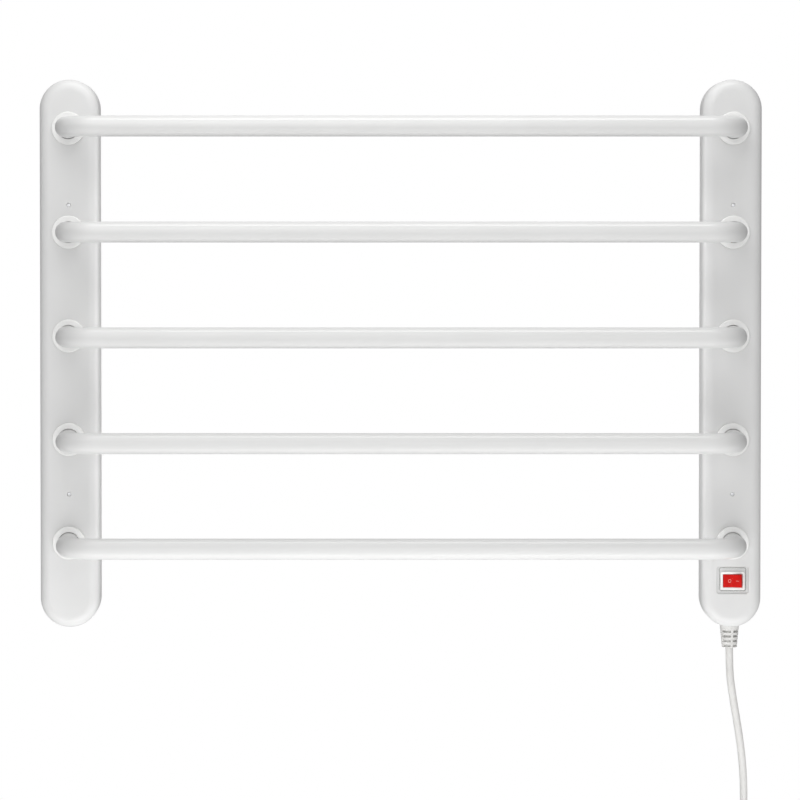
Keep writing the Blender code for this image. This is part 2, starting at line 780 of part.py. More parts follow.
def plug(surface, metal, parts, cutters):
    """A moulded two-pin plug lying beside the coil, with its pins towards -X."""
    profile = (
        (0, 0),
        (4.6 * MM, 0),
        (5.6 * MM, -14 * MM),
        (11 * MM, -19 * MM),
        (15.5 * MM, -24 * MM),
        (PLUG_RADIUS, -28 * MM),
        (PLUG_RADIUS, -42 * MM),
        (PLUG_RADIUS - 1 * MM, -43 * MM),
        (0, -43 * MM),
    )
    body = turned("plug_body", profile, 24, surface, parts, closed=False)
    z = FLOOR_Z + PLUG_RADIUS
    body.location = (PLUG_X, PLUG_Y, z)
    body.rotation_euler.y = math.pi / 2
    face_x = PLUG_X - 43 * MM
    for label, side in (("front", -1), ("back", 1)):
        y = PLUG_Y + side * PIN_SPACING / 2
        tip, root = (face_x - PIN_LENGTH, y, z), (face_x + 8 * MM, y, z)
        hole = cylinder(
            f"plug_hole_{label}",
            (face_x - MM, y, z),
            (root[0] + GAP, y, z),
            PIN_RADIUS + GAP,
            12,
            None,
            cutters,
        )
        boolean(body, hole)
        cylinder(f"plug_pin_{label}", tip, root, PIN_RADIUS, 12, metal, parts)


def heating_cable(surface, parts):
    """Up the right column, then through the five tubes in turn, to the joint in the left column."""
    heights = [TOP_TUBE_Z - number * TUBE_PITCH for number in range(TUBE_COUNT)]
    heights[-1] += 3 * MM
    corners = [(COLUMN_X + SIDE_STEP, WIRE_Y, -140.5 * MM), (COLUMN_X + SIDE_STEP, WIRE_Y, heights[0])]
    radii = [6.5 * MM]
    side = 1
    for number, z in enumerate(heights):
        corners += [
            (side * COLUMN_X, WIRE_Y, z),
            (side * COLUMN_X, TUBE_Y, z),
            (-side * COLUMN_X, TUBE_Y, z),
            (-side * COLUMN_X, WIRE_Y, z),
        ]
        radii += [6.5 * MM, BEND_RADIUS, BEND_RADIUS, 6.5 * MM]
        side = -side
        if number in (0, 3, 4):
            beside = side * (COLUMN_X - SIDE_STEP)
            below = heights[number + 1] if number < 4 else -142 * MM
            corners += [(beside, WIRE_Y, z), (beside, WIRE_Y, below)]
            radii += [6.5 * MM, 6.5 * MM]
    wire("heating_cable", rounded_path(corners, radii, 3), CABLE_RADIUS, 1, surface, parts)


def return_lead(surface, parts):
    """Back from the moulded splice at the cable's end, through the lowest tube, to the block."""
    x_inner, x_outer = -COLUMN_X + SIDE_STEP, -COLUMN_X - SIDE_STEP
    z = TOP_TUBE_Z - (TUBE_COUNT - 1) * TUBE_PITCH - 3.5 * MM
    splice_end = Vector((x_inner, WIRE_Y, -126 * MM))
    corners = (
        splice_end + Vector((0, 0, 2 * MM)),
        (x_inner, WIRE_Y, -104 * MM),
        (x_outer, WIRE_Y, -104 * MM),
        (x_outer, WIRE_Y, z),
        (-COLUMN_X, WIRE_Y, z),
        (-COLUMN_X, TUBE_Y, z),
        (COLUMN_X, TUBE_Y, z),
        (COLUMN_X, WIRE_Y, z),
        (BLOCK_X, WIRE_Y, z),
        (BLOCK_X, WIRE_Y, BLOCK_TOP + GAP),
    )
    tight = 5 * MM
    radii = (tight, tight, tight, tight, BEND_RADIUS, BEND_RADIUS, tight, tight)
    splice_start = (x_inner, WIRE_Y, -141.7 * MM)
    path = [splice_start, splice_end, *rounded_path(corners, radii, 3)]
    wire("return_lead", path, RETURN_RADIUS, 1, surface, parts, thick_start=2.3)


def electrics(plastic, metal, parts, cutters):
    """The terminal block and the thermal cut-out beside the switch."""
    block = box(
        "terminal_block",
        (BLOCK_X - 5 * MM, WIRE_Y - 6 * MM, BLOCK_BOTTOM),
        (BLOCK_X + 5 * MM, WIRE_Y + 5 * MM, BLOCK_TOP),
        plastic,
        parts,
    )
    for number, z in enumerate((BLOCK_TOP - 5.6 * MM, BLOCK_BOTTOM + 5.6 * MM)):
        bore = cylinder(
            f"block_screw_hole_{number}",
            (BLOCK_X, WIRE_Y - 8 * MM, z),
            (BLOCK_X, WIRE_Y - 1.5 * MM, z),
            2.4 * MM,
            10,
            None,
            cutters,
        )
        boolean(block, bore)
    x = COLUMN_X + SIDE_STEP
    box(
        "thermal_cutout",
        (x - 3.6 * MM, WIRE_Y - 3.5 * MM, -162.5 * MM),
        (x + 3.6 * MM, WIRE_Y + 3.5 * MM, -140.8 * MM),
        metal,
        parts,
    )


def leads(surfaces, parts):
    """The short wires: cord to switch, cord to block, cord to earth, and switch to cut-out."""
    start = CORD_TOP_Z + GAP
    reach = BLADE_SIZE[1] / 2 + GAP
    routes = {
        "live_lead": (
            (CORD_X, -13.2 * MM, start),
            (CORD_X, -13.2 * MM, -232 * MM),
            (SWITCH_X, BLADE_Y, -226 * MM),
            (SWITCH_X, BLADE_Y, SWITCH_Z - reach),
        ),
        "neutral_lead": (
            (305.2 * MM, -15.2 * MM, start),
            (305.2 * MM, -15.2 * MM, -230 * MM),
            (BLOCK_X, WIRE_Y, -226 * MM),
            (BLOCK_X, WIRE_Y, BLOCK_BOTTOM - GAP),
        ),
        "earth_lead": (
            (308.8 * MM, -15.2 * MM, start),
            (308.8 * MM, -15.2 * MM, -233 * MM),
            (318 * MM, -10 * MM, -233 * MM),
            (318 * MM, -2.6 * MM, -233 * MM),
        ),
        "load_lead": (
            (LOAD_BLADE_X, BLADE_Y, SWITCH_Z + reach),
            (LOAD_BLADE_X, BLADE_Y, -190 * MM),
            (COLUMN_X + SIDE_STEP, BLADE_Y, -190 * MM),
            (COLUMN_X + SIDE_STEP, WIRE_Y, -172 * MM),
            (COLUMN_X + SIDE_STEP, WIRE_Y, -162.8 * MM),
        ),
    }
    for name, corners in routes.items():
        radii = [2.5 * MM] * (len(corners) - 2)
        wire(name, rounded_path(corners, radii, 3), LEAD_RADIUS, 1, surfaces[name], parts)


def main():
    clear_scene()
    parts = new_collection("heated_towel_rail")
    cutters = new_collection("cutters")
    white = material("white_enamel", (0.86, 0.86, 0.85), 0.3)
    tube_white = material("tube_enamel", (0.88, 0.88, 0.87), 0.22)
    collar_white = material("collar_plastic", (0.86, 0.86, 0.85), 0.32)
    zinc = material("zinc_steel", (0.62, 0.63, 0.65), 0.35, 1.0)
    switch_white = material("switch_plastic", (0.87, 0.87, 0.86), 0.35)
    red = material("rocker_plastic", (0.68, 0.01, 0.006), 0.3)
    clear = material("boot_pvc", (0.85, 0.87, 0.87), 0.12, 0.0, 0.3)
    copper = material("contact_copper", (0.75, 0.42, 0.24), 0.3, 1.0)
    cord_white = material("cord_pvc", (0.82, 0.82, 0.8), 0.45)
    block_white = material("terminal_plastic", (0.8, 0.8, 0.76), 0.5)
    nylon = material("nut_nylon", (0.78, 0.78, 0.74), 0.5)
    silicone = material("heater_silicone", (0.55, 0.08, 0.05), 0.55)
    nickel = material("pin_nickel", (0.72, 0.7, 0.66), 0.25, 1.0)
    brown = material("live_insulation", (0.3, 0.14, 0.06), 0.5)
    blue = material("neutral_insulation", (0.05, 0.15, 0.5), 0.5)
    green = material("earth_insulation", (0.2, 0.5, 0.08), 0.5)
    insulation = {"live_lead": brown, "load_lead": brown, "neutral_lead": blue, "earth_lead": green}
    for side, x in (("left", -COLUMN_X), ("right", COLUMN_X)):
        shell = cover(side, x, white, parts, cutters)
        if side == "right":
            add_pocket(shell, cutters)
        back_plate(side, x, white, parts, cutters)
        for level, z in LOCK_HEIGHTS.items():
            bracket(side, level, x, z, zinc, parts, cutters)
            lock_screw(side, level, x, z, zinc, parts, cutters)
        for number in range(1, TUBE_COUNT + 1):
            z = TOP_TUBE_Z - (number - 1) * TUBE_PITCH
            collar(side, number, x, z, collar_white, parts)
            retaining_nut(side, number, x, z, nylon, parts)
    for number in range(1, TUBE_COUNT + 1):
        rail_tube(number, TOP_TUBE_Z - (number - 1) * TUBE_PITCH, tube_white, parts)
    switch_housing(switch_white, parts, cutters)
    rocker(red, parts, cutters)
    contact(copper, parts)
    boot(clear, parts)
    blades(copper, parts)
    strain_relief(cord_white, parts, cutters)
    cord_clamp(block_white, parts, cutters)
    supply_cord(cord_white, parts)
    cord_coil(cord_white, parts)
    coil_tie(block_white, parts, cutters)
    plug(cord_white, nickel, parts, cutters)
    heating_cable(silicone, parts)
    return_lead(blue, parts)
    cord_tail(cord_white, parts)
    electrics(block_white, zinc, parts, cutters)
    leads(insulation, parts)


main()
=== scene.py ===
import json
import math

import bmesh
import bpy
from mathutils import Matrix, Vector


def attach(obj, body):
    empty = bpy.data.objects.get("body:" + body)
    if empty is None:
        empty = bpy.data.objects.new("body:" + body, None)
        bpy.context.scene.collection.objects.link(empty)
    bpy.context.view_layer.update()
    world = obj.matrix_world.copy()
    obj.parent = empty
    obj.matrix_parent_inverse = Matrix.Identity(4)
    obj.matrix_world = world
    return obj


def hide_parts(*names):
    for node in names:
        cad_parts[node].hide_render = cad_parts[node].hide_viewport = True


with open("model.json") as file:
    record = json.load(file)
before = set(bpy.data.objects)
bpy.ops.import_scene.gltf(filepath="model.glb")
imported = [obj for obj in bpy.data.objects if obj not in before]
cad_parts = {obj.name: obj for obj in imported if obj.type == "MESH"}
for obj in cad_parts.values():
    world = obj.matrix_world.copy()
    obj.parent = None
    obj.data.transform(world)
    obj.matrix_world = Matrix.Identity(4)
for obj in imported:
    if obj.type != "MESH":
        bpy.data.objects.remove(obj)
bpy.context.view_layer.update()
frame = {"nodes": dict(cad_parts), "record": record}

MM = 0.001
SUPPORT = 0.3 * MM  # a narrow flat band beside each round edge keeps the shading of flat faces flat
SAME_PLACE = 1e-7

# The rail, as in the CAD model
COLUMN_X = 307.5 * MM
COLUMN_WIDTH = 55 * MM
COLUMN_HEIGHT = 509 * MM
FACE_Y = -30 * MM
EDGE_RADIUS = 10 * MM
WALL = 2 * MM
END_Z = COLUMN_HEIGHT / 2
TUBE_HEIGHTS = [(209 - 96 * number) * MM for number in range(5)]
TUBE_RADIUS = 9.5 * MM
TUBE_Y = -84 * MM
BEND_RADIUS = 28 * MM
LEG_END_Y = -14 * MM
LOCK_HEIGHTS = (138 * MM, -130 * MM)
TUBE_HOLE = 11.5 * MM
LOCK_HOLE = 1.8 * MM

# The switch in its pocket, with the clear cap over it; the key turns about PIVOT_Y
SWITCH_X = 308 * MM
SWITCH_Z = -210.4 * MM
SWITCH_BACK_Y = -14 * MM
POCKET_CENTRE = (SWITCH_X, SWITCH_Z + 0.5 * MM)
POCKET_FLOOR_Y = -28.5 * MM
KEY_WELL_Y = -15.2 * MM
KEY_RADIUS = 8.9 * MM
KEY_HALF_HEIGHT = 5.9 * MM
PIVOT_Y = -29 * MM
ROCKER_TILT = math.radians(10)
CAP_CENTRE = (SWITCH_X, SWITCH_Z + 1.3 * MM)
CAP_SIZE = (25.0, 22.0)  # mm
CAP_FRONT_Y = FACE_Y - 4.9 * MM

# The strain relief: four ribs along it, with four rows of slots between them
CORD_RADIUS = 3.5 * MM
CORD_X = 307 * MM
CORD_Y = -15 * MM
RELIEF_END_Z = -274 * MM
RIB_ANGLES = [math.radians(90 * number - 78) for number in range(4)]
RIB_HALF = math.radians(11)
SLOT_HEIGHTS = [(-258.8 - 4.45 * number) * MM for number in range(4)]
SLOT_HALF = 0.95 * MM
SLOT_EDGE = 0.3 * MM
SLOT_RADIUS = 5.2 * MM

# The coil of cord on the floor, and the plug beside it
FLOOR_Z = -470 * MM
COIL_X = 278.5 * MM
COIL_Y = -50 * MM
PLUG_X = 160 * MM
PLUG_Y = -70 * MM
PLUG_Z = FLOOR_Z + 17.5 * MM
PLUG_FACE_X = PLUG_X - 42.6 * MM
PIN_TIP_X = PLUG_X - 62 * MM
PIN_RADIUS = 2.4 * MM
PIN_ROUND = 1.5 * MM


# ---------------------------------------------------------------- camera
def add_camera():
    """A long lens square to the rail, a little above and left of its middle and looking slightly down."""
    data = bpy.data.cameras.new("camera")
    data.lens = 126.4
    data.sensor_width = 36
    data.shift_x = 0.053
    data.shift_y = -0.1295
    data.clip_start = 0.05
    camera = bpy.data.objects.new("camera", data)
    camera.location = (-0.04, -2.63, 0.108)
    camera.rotation_euler = (math.radians(90 - 1.2), 0, 0)
    bpy.context.scene.collection.objects.link(camera)
    bpy.context.scene.camera = camera


# ---------------------------------------------------------------- materials
class Shader:
    """A node material whose colour, roughness and bump vary over the surface."""

    def __init__(self, name, roughness, **constants):
        self.material = bpy.data.materials.new(name)
        self.material.use_nodes = True
        self.tree = self.material.node_tree
        self.bsdf = self.tree.nodes["Principled BSDF"]
        self.bsdf.inputs["Roughness"].default_value = roughness
        for socket, value in constants.items():
            self.bsdf.inputs[socket.replace("_", " ")].default_value = value
        self.place = self.add("ShaderNodeTexCoord").outputs["Object"]
        self.normal = None

    def add(self, kind, **settings):
        node = self.tree.nodes.new(kind)
        for key, value in settings.items():
            setattr(node, key, value)
        return node

    def link(self, start, end):
        self.tree.links.new(start, end)

    def noise(self, size, detail=3.0, stretch=None):
        """Noise with features of this size in metres; stretch divides the scale along each axis."""
        node = self.add("ShaderNodeTexNoise")
        for socket, value in (("Scale", 1 / size), ("Detail", detail), ("Roughness", 0.55)):
            node.inputs[socket].default_value = value
        place = self.place
        if stretch:
            mapping = self.add("ShaderNodeMapping")
            mapping.inputs["Scale"].default_value = [1 / value for value in stretch]
            self.link(place, mapping.inputs["Vector"])
            place = mapping.outputs["Vector"]
        self.link(place, node.inputs["Vector"])
        return node.outputs["Fac"]

    def ramp(self, factor, stops):
        node = self.add("ShaderNodeValToRGB")
        elements = node.color_ramp.elements
        for index, (position, colour) in enumerate(stops):
            element = elements[index] if index < 2 else elements.new(position)
            element.position = position
            element.color = (*colour, 1)
        self.link(factor, node.inputs["Fac"])
        return node.outputs["Color"]

    def span(self, factor, low, high, start=0.3, end=0.7):
        """Maps the factor from start..end to low..high."""
        node = self.add("ShaderNodeMapRange")
        for socket, value in (("From Min", start), ("From Max", end), ("To Min", low), ("To Max", high)):
            node.inputs[socket].default_value = value
        self.link(factor, node.inputs["Value"])
        return node.outputs["Result"]

    def edge(self, radius):
        """1 on edges that this radius would round off, and 0 on flat parts."""
        rounded = self.add("ShaderNodeBevel", samples=4)
        rounded.inputs["Radius"].default_value = radius
        dot = self.add("ShaderNodeVectorMath", operation="DOT_PRODUCT")
        self.link(rounded.outputs["Normal"], dot.inputs[0])
        self.link(self.add("ShaderNodeNewGeometry").outputs["Normal"], dot.inputs[1])
        return self.span(dot.outputs["Value"], 1, 0, 0.88, 0.99)

    def mix(self, factor, first, second):
        node = self.add("ShaderNodeMix", data_type="RGBA")
        self.link(factor, node.inputs["Factor"])
        for value, socket in ((first, node.inputs[6]), (second, node.inputs[7])):
            if isinstance(value, tuple):
                socket.default_value = (*value, 1)
            else:
                self.link(value, socket)
        return node.outputs[2]

    def bump(self, height, distance, strength=1.0):
        node = self.add("ShaderNodeBump")
        node.inputs["Distance"].default_value = distance
        node.inputs["Strength"].default_value = strength
        self.link(height, node.inputs["Height"])
        if self.normal:
            self.link(self.normal, node.inputs["Normal"])
        self.normal = node.outputs["Normal"]
        self.link(self.normal, self.bsdf.inputs["Normal"])

    def colour(self, socket):
        self.link(socket, self.bsdf.inputs["Base Color"])

    def rough(self, socket):
        self.link(socket, self.bsdf.inputs["Roughness"])


def shade(colour, factor):
    """The colour made lighter or darker by a factor."""
    return tuple(min(1.0, value * factor) for value in colour)


def enamel(name, colour, roughness, peel):
    """Powder coat: a faint orange peel, slow changes of tone, thinner paint on edges."""
    made = Shader(name, roughness, IOR=1.5, Coat_Weight=0.12, Coat_Roughness=0.22)
    tone = made.ramp(made.noise(90 * MM, 2), [(0.3, shade(colour, 0.985)), (0.7, shade(colour, 1.012))])
    made.colour(made.mix(made.edge(0.5 * MM), tone, shade(colour, 0.93)))
    made.rough(made.span(made.noise(14 * MM, 4), roughness - 0.03, roughness + 0.03))
    made.bump(made.noise(1.6 * MM, 2), peel, 0.5)
    made.bump(made.noise(0.4 * MM, 2), 0.3 * peel, 0.5)
    return made.material


def moulding(name, colour, roughness, grain=0.35 * MM, depth=0.006 * MM, sheen=0.0, coat=0.0):
    """Moulded plastic: fine spark-eroded grain, faint flow clouds and rubbed edges."""
    made = Shader(name, roughness, IOR=1.49, Sheen_Weight=sheen, Coat_Weight=coat, Coat_Roughness=0.08)
    clouds = made.ramp(made.noise(22 * MM, 4), [(0.32, shade(colour, 0.965)), (0.68, shade(colour, 1.02))])
    made.colour(made.mix(made.edge(0.35 * MM), clouds, shade(colour, 0.95)))
    made.rough(made.span(made.noise(5 * MM, 5), roughness - 0.05, roughness + 0.06))
    made.bump(made.noise(grain, 2), depth, 0.7)
    return made.material


def zinc():
    """Zinc-plated steel with soft spangle, scratches and brighter edges."""
    made = Shader("zinc", 0.38, Metallic=1.0)
    spangle = made.noise(4 * MM, 5)
    tones = [(0.3, (0.72, 0.73, 0.75)), (0.55, (0.8, 0.81, 0.83)), (0.75, (0.88, 0.87, 0.84))]
    made.colour(made.mix(made.edge(0.4 * MM), made.ramp(spangle, tones), (0.88, 0.88, 0.89)))
    scratches = made.noise(1.2 * MM, 5, (1, 1, 14))
    made.rough(made.span(scratches, 0.26, 0.5))
    made.bump(scratches, 0.012 * MM, 0.5)
    made.bump(spangle, 0.02 * MM, 0.3)
    return made.material


def bare_metal(name, colour, roughness):
    """Drawn or turned metal with fine lines round it and slight tarnish."""
    made = Shader(name, roughness, Metallic=1.0)
    tarnish = made.ramp(made.noise(3 * MM, 5), [(0.3, shade(colour, 0.82)), (0.7, colour)])
    made.colour(made.mix(made.edge(0.3 * MM), tarnish, shade(colour, 1.15)))
    lines = made.noise(0.3 * MM, 3, (6, 1, 1))
    made.rough(made.span(lines, roughness - 0.08, roughness + 0.1))
    made.bump(lines, 0.006 * MM, 0.5)
    return made.material


def silicone():
    """Brick-red silicone rubber with a dusty, slightly uneven skin."""
    made = Shader("silicone", 0.5, Subsurface_Weight=0.15, Subsurface_Radius=(1.2 * MM, 0.5 * MM, 0.3 * MM))
    made.colour(made.ramp(made.noise(9 * MM, 4), [(0.3, (0.5, 0.09, 0.06)), (0.7, (0.6, 0.13, 0.08))]))
    made.rough(made.span(made.noise(2 * MM, 4), 0.42, 0.6))
    made.bump(made.noise(0.6 * MM, 3), 0.02 * MM, 0.6)
    return made.material


def clear_cap():
    """Soft clear PVC: a faint film over what lies behind it, thicker to look through on its bent edges,
    where its mid grey colour paints a dark shadow line round the cap.
    """
    made = Shader("clear_pvc_painted_shade", 0.16, IOR=1.45, Coat_Weight=0.3, Coat_Roughness=0.1)
    # mid grey, not clear white: painted shade, so the film on the cap's bent edges shows as a dark shadow
    # line
    made.colour(made.ramp(made.noise(6 * MM, 3), [(0.3, (0.5, 0.505, 0.505)), (0.7, (0.58, 0.58, 0.575))]))
    made.rough(made.span(made.noise(3 * MM, 4), 0.1, 0.24))
    made.bump(made.noise(5 * MM, 2), 0.03 * MM, 0.5)
    facing = made.add("ShaderNodeLayerWeight")
    facing.inputs["Blend"].default_value = 0.35
    # the film is thicker on bent edges, and raised there so that its grey paints the cap's dark outline
    thickness = ((0.0, 0.0), (0.5, 0.02), (0.8, 0.2), (1.0, 0.6))
    film_with_painted_outline = made.ramp(facing.outputs["Facing"], [(turn, (seen, seen, seen)) for turn, seen in thickness])
    made.link(film_with_painted_outline, made.bsdf.inputs["Alpha"])
    return made.material


def red_key():
    """Red polycarbonate whose tone shifts over the face, deeper along its edges."""
    made = Shader("red_key", 0.35, IOR=1.45, Specular_IOR_Level=0.15)
    tones = [(0.3, (0.5, 0.005, 0.003)), (0.5, (0.6, 0.007, 0.005)), (0.72, (0.68, 0.011, 0.007))]
    made.colour(made.mix(made.edge(0.5 * MM), made.ramp(made.noise(5 * MM, 3), tones), (0.4, 0.004, 0.003)))
    made.rough(made.span(made.noise(1.5 * MM, 4), 0.28, 0.45))
    made.bump(made.noise(0.4 * MM, 3), 0.01 * MM, 0.6)
    return made.material


def make_materials():
    """The materials by slot, and the two that no CAD node has: the grey of the painted shadow line round the
    cap's foot, and the key's marks.
    """
    return {
        "white_enamel": enamel("column_enamel", (0.7, 0.7, 0.697), 0.45, 0.008 * MM),
        "tube_enamel": enamel("rail_enamel", (0.7, 0.7, 0.695), 0.33, 0.003 * MM),
        "collar_plastic": moulding("collar_plastic", (0.87, 0.87, 0.86), 0.4),
        "zinc_steel": zinc(),
        "switch_plastic": moulding("switch_plastic", (0.87, 0.87, 0.86), 0.4, coat=0.1),
        "rocker_plastic": red_key(),
        "boot_pvc": clear_cap(),
        "contact_copper": bare_metal("contact_copper", (0.8, 0.46, 0.3), 0.28),
        "cord_pvc": moulding("cord_pvc", (0.67, 0.665, 0.65), 0.4, 0.45 * MM, 0.012 * MM, sheen=0.05),
        "terminal_plastic": moulding("terminal_nylon", (0.72, 0.71, 0.67), 0.46),
        "nut_nylon": moulding("nut_nylon", (0.66, 0.65, 0.6), 0.5, 0.5 * MM),
        "heater_silicone": silicone(),
        "pin_nickel": bare_metal("pin_nickel", (0.72, 0.69, 0.64), 0.22),
        "live_insulation": moulding("live_insulation", (0.22, 0.09, 0.045), 0.42),
        "neutral_insulation": moulding("neutral_insulation", (0.03, 0.12, 0.48), 0.42),
        "earth_insulation": moulding("earth_insulation", (0.12, 0.42, 0.06), 0.42),
        # painted shadow: the grey of the band round the cap's foot, standing in for the cap's shadow line
        "painted_shadow_grey": moulding("painted_shadow_grey", (0.46, 0.46, 0.45), 0.6),
        "mark": moulding("mark_paint", (0.85, 0.46, 0.42), 0.5, 0.2 * MM),
    }


# ---------------------------------------------------------------- mesh building
def finish_piece(name, shape, slot, body="rail", replaces=(), sharp=35, material=None):
    """Makes the shape an object, smooth up to this angle in degrees, and tells the frame what it is."""
    bmesh.ops.recalc_face_normals(shape, faces=shape.faces)
    mesh = bpy.data.meshes.new(name)
    shape.to_mesh(mesh)
    shape.free()
    mesh.polygons.foreach_set("use_smooth", [True] * len(mesh.polygons))
    mesh.set_sharp_from_angle(angle=math.radians(sharp))
    mesh.materials.append(MATERIALS[material or slot])
    piece = bpy.data.objects.new(name, mesh)
    bpy.context.scene.collection.objects.link(piece)
    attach(piece, body)
    if replaces:
        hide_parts(*replaces)
    return piece


def skin(shape, rings, closed=False):
    """Quads between each closed ring of vertices and the next."""
    pairs = list(zip(rings, rings[1:]))
    if closed:
        pairs.append((rings[-1], rings[0]))
    for first, second in pairs:
        for i in range(len(first)):
            j = (i + 1) % len(first)
            shape.faces.new((first[i], first[j], second[j], second[i]))


def capped(shape, rings):
    """The skin over the rings, with a face on the first and the last."""
    skin(shape, rings)
    shape.faces.new(rings[0])
    shape.faces.new(rings[-1])


def sheet(shape, rows):
    """Quads between each open row of vertices and the next."""
    for first, second in zip(rows, rows[1:]):
        for i in range(len(first) - 1):
            shape.faces.new((first[i], first[i + 1], second[i + 1], second[i]))


def thicken(piece, thickness):
    """Gives an open sheet this thickness, half on each side."""
    solid = piece.modifiers.new("thickness", "SOLIDIFY")
    solid.thickness = thickness
    solid.offset = 0


def turns(count):
    """Evenly spaced angles round a full turn."""
    return [2 * math.pi * i / count for i in range(count)]


def polar(centre, radius, angle):
    """The point at this radius and angle from a centre."""
    return centre[0] + radius * math.cos(angle), centre[1] + radius * math.sin(angle)


def outline(width, height, radius, steps, centre=(0, 0), support=SUPPORT):
    """The (x, z) points of a rectangle with round corners, with a support point beside each corner."""
    points = []
    for corner, (side, up) in enumerate(((1, 1), (-1, 1), (-1, -1), (1, -1))):
        middle = (centre[0] + side * (width / 2 - radius), centre[1] + up * (height / 2 - radius))
        start, end = math.pi / 2 * corner, math.pi / 2 * (corner + 1)
        before, after = height - 2 * radius, width - 2 * radius
        if corner % 2:
            before, after = after, before
        if support and before > 3 * SUPPORT:
            x, z = polar(middle, radius, start)
            points.append((x + support * math.sin(start), z - support * math.cos(start)))
        points += [polar(middle, radius, start + math.pi / 2 * step / steps) for step in range(steps + 1)]
        if support and after > 3 * SUPPORT:
            x, z = polar(middle, radius, end)
            points.append((x - support * math.sin(end), z + support * math.cos(end)))
    kept = [points[0]]
    for point in points[1:]:
        if math.dist(point, kept[-1]) > SAME_PLACE:
            kept.append(point)
    if math.dist(kept[0], kept[-1]) < SAME_PLACE:
        kept.pop()
    return kept


def ring(shape, points, y):
    """The (x, z) points as vertices at this y."""
    return [shape.verts.new((x, y, z)) for x, z in points]


def circle(radius, steps, centre):
    return [polar(centre, radius, angle) for angle in turns(steps)]


def loop_edges(shape, loop):
    """The edges round a closed loop of vertices, made where there is none yet."""
    pairs = [(loop[i - 1], loop[i]) for i in range(len(loop))]
    return [shape.edges.get(pair) or shape.edges.new(pair) for pair in pairs]


def fill(shape, loops):
    """Flat triangles between an outer loop and the holes in it."""
    edges = [edge for loop in loops for edge in loop_edges(shape, loop)]
    bmesh.ops.triangle_fill(shape, use_beauty=True, edges=edges, normal=(0, -1, 0))


def quarter(radius, steps):
    """(inset, rise) pairs down a quarter-round edge, from its front line to its side line."""
    angles = [math.pi / 2 * i / steps for i in range(steps + 1)]
    return [(radius * (1 - math.sin(angle)), radius * (1 - math.cos(angle))) for angle in angles]


def lathe(name, profile, centre, axis, slot, segments=64, closed=True, sharp=40, **options):
    """A solid turned about X or Y: profile holds (radius, place along the axis) pairs."""
    shape = bmesh.new()
    rings = []
    for radius, along in profile:
        row = []
        for across, up in circle(radius, segments, centre):
            row.append(shape.verts.new((along, across, up) if axis == "X" else (across, along, up)))
        rings.append(row)
    if closed:
        skin(shape, rings, closed=True)
    else:
        capped(shape, rings)
    return finish_piece(name, shape, slot, sharp=sharp, **options)


def sweep(shape, path, radius, sides):
    """A capped round tube along a path."""
    path = [Vector(point) for point in path]
    across = None
    rings = []
    for i, point in enumerate(path):
        ahead = path[min(i + 1, len(path) - 1)] - point
        behind = point - path[max(i - 1, 0)]
        along = (ahead.normalized() + behind.normalized()).normalized()
        if across is None:
            across = along.orthogonal().normalized()
        across = (across - along * across.dot(along)).normalized()
        side = along.cross(across)
        spokes = [math.cos(angle) * across + math.sin(angle) * side for angle in turns(sides)]
        rings.append([shape.verts.new(point + radius * spoke) for spoke in spokes])
    capped(shape, rings)


def through(points, step):
    """A smooth line through the points (centripetal Catmull-Rom), with a point every step or so."""
    points = [Vector(point) for point in points]
    first = points[0] + (points[0] - points[1])
    last = points[-1] + (points[-1] - points[-2])
    knots = [first, *points, last]
    line = []
    for i in range(1, len(knots) - 2):
        a, b, c, d = knots[i - 1 : i + 3]
        t0 = 0.0
        t1 = math.sqrt((b - a).length)
        t2 = t1 + math.sqrt((c - b).length)
        t3 = t2 + math.sqrt((d - c).length)
        count = max(1, round((c - b).length / step))
        for k in range(count):
            t = t1 + (t2 - t1) * k / count
            p = a * (t1 - t) / (t1 - t0) + b * (t - t0) / (t1 - t0)
            q = b * (t2 - t) / (t2 - t1) + c * (t - t1) / (t2 - t1)
            r = c * (t3 - t) / (t3 - t2) + d * (t - t2) / (t3 - t2)
            u = p * (t2 - t) / (t2 - t0) + q * (t - t0) / (t2 - t0)
            v = q * (t3 - t) / (t3 - t1) + r * (t - t1) / (t3 - t1)
            line.append(u * (t2 - t) / (t2 - t1) + v * (t - t1) / (t2 - t1))
    line.append(points[-1])
    return line


def eased(value):
    """0 up to 0, 1 from 1 on, and a smooth half wave between."""
    value = min(1.0, max(0.0, value))
    return (1 - math.cos(math.pi * value)) / 2


# ---------------------------------------------------------------- the cord, its coil and its plug
def coil_points():
    """Five and a bit turns, clockwise from above: inwards on the upper layer, then outwards on the floor."""
    outer_lane, lane_step = 42.5 * MM, 7 * MM
    low, layer = FLOOR_Z + CORD_RADIUS, 7.2 * MM
    step, end = 9, 1893  # degrees along the coil
    inward, down, outward = (240, 600), 864, (1188, 1548)  # where each change of lane or layer starts
    points = []
    for degrees in range(0, end + 1, step):
        lanes_in = sum(eased((degrees - start) / 120) for start in inward)
        lanes_out = sum(eased((degrees - start) / 120) for start in outward)
        radius = outer_lane + lane_step * (lanes_out - lanes_in)
        height = low + layer * (1 - eased((degrees - down) / 180))
        points.append((*polar((COIL_X, COIL_Y), radius, -math.radians(degrees)), height))
    return points


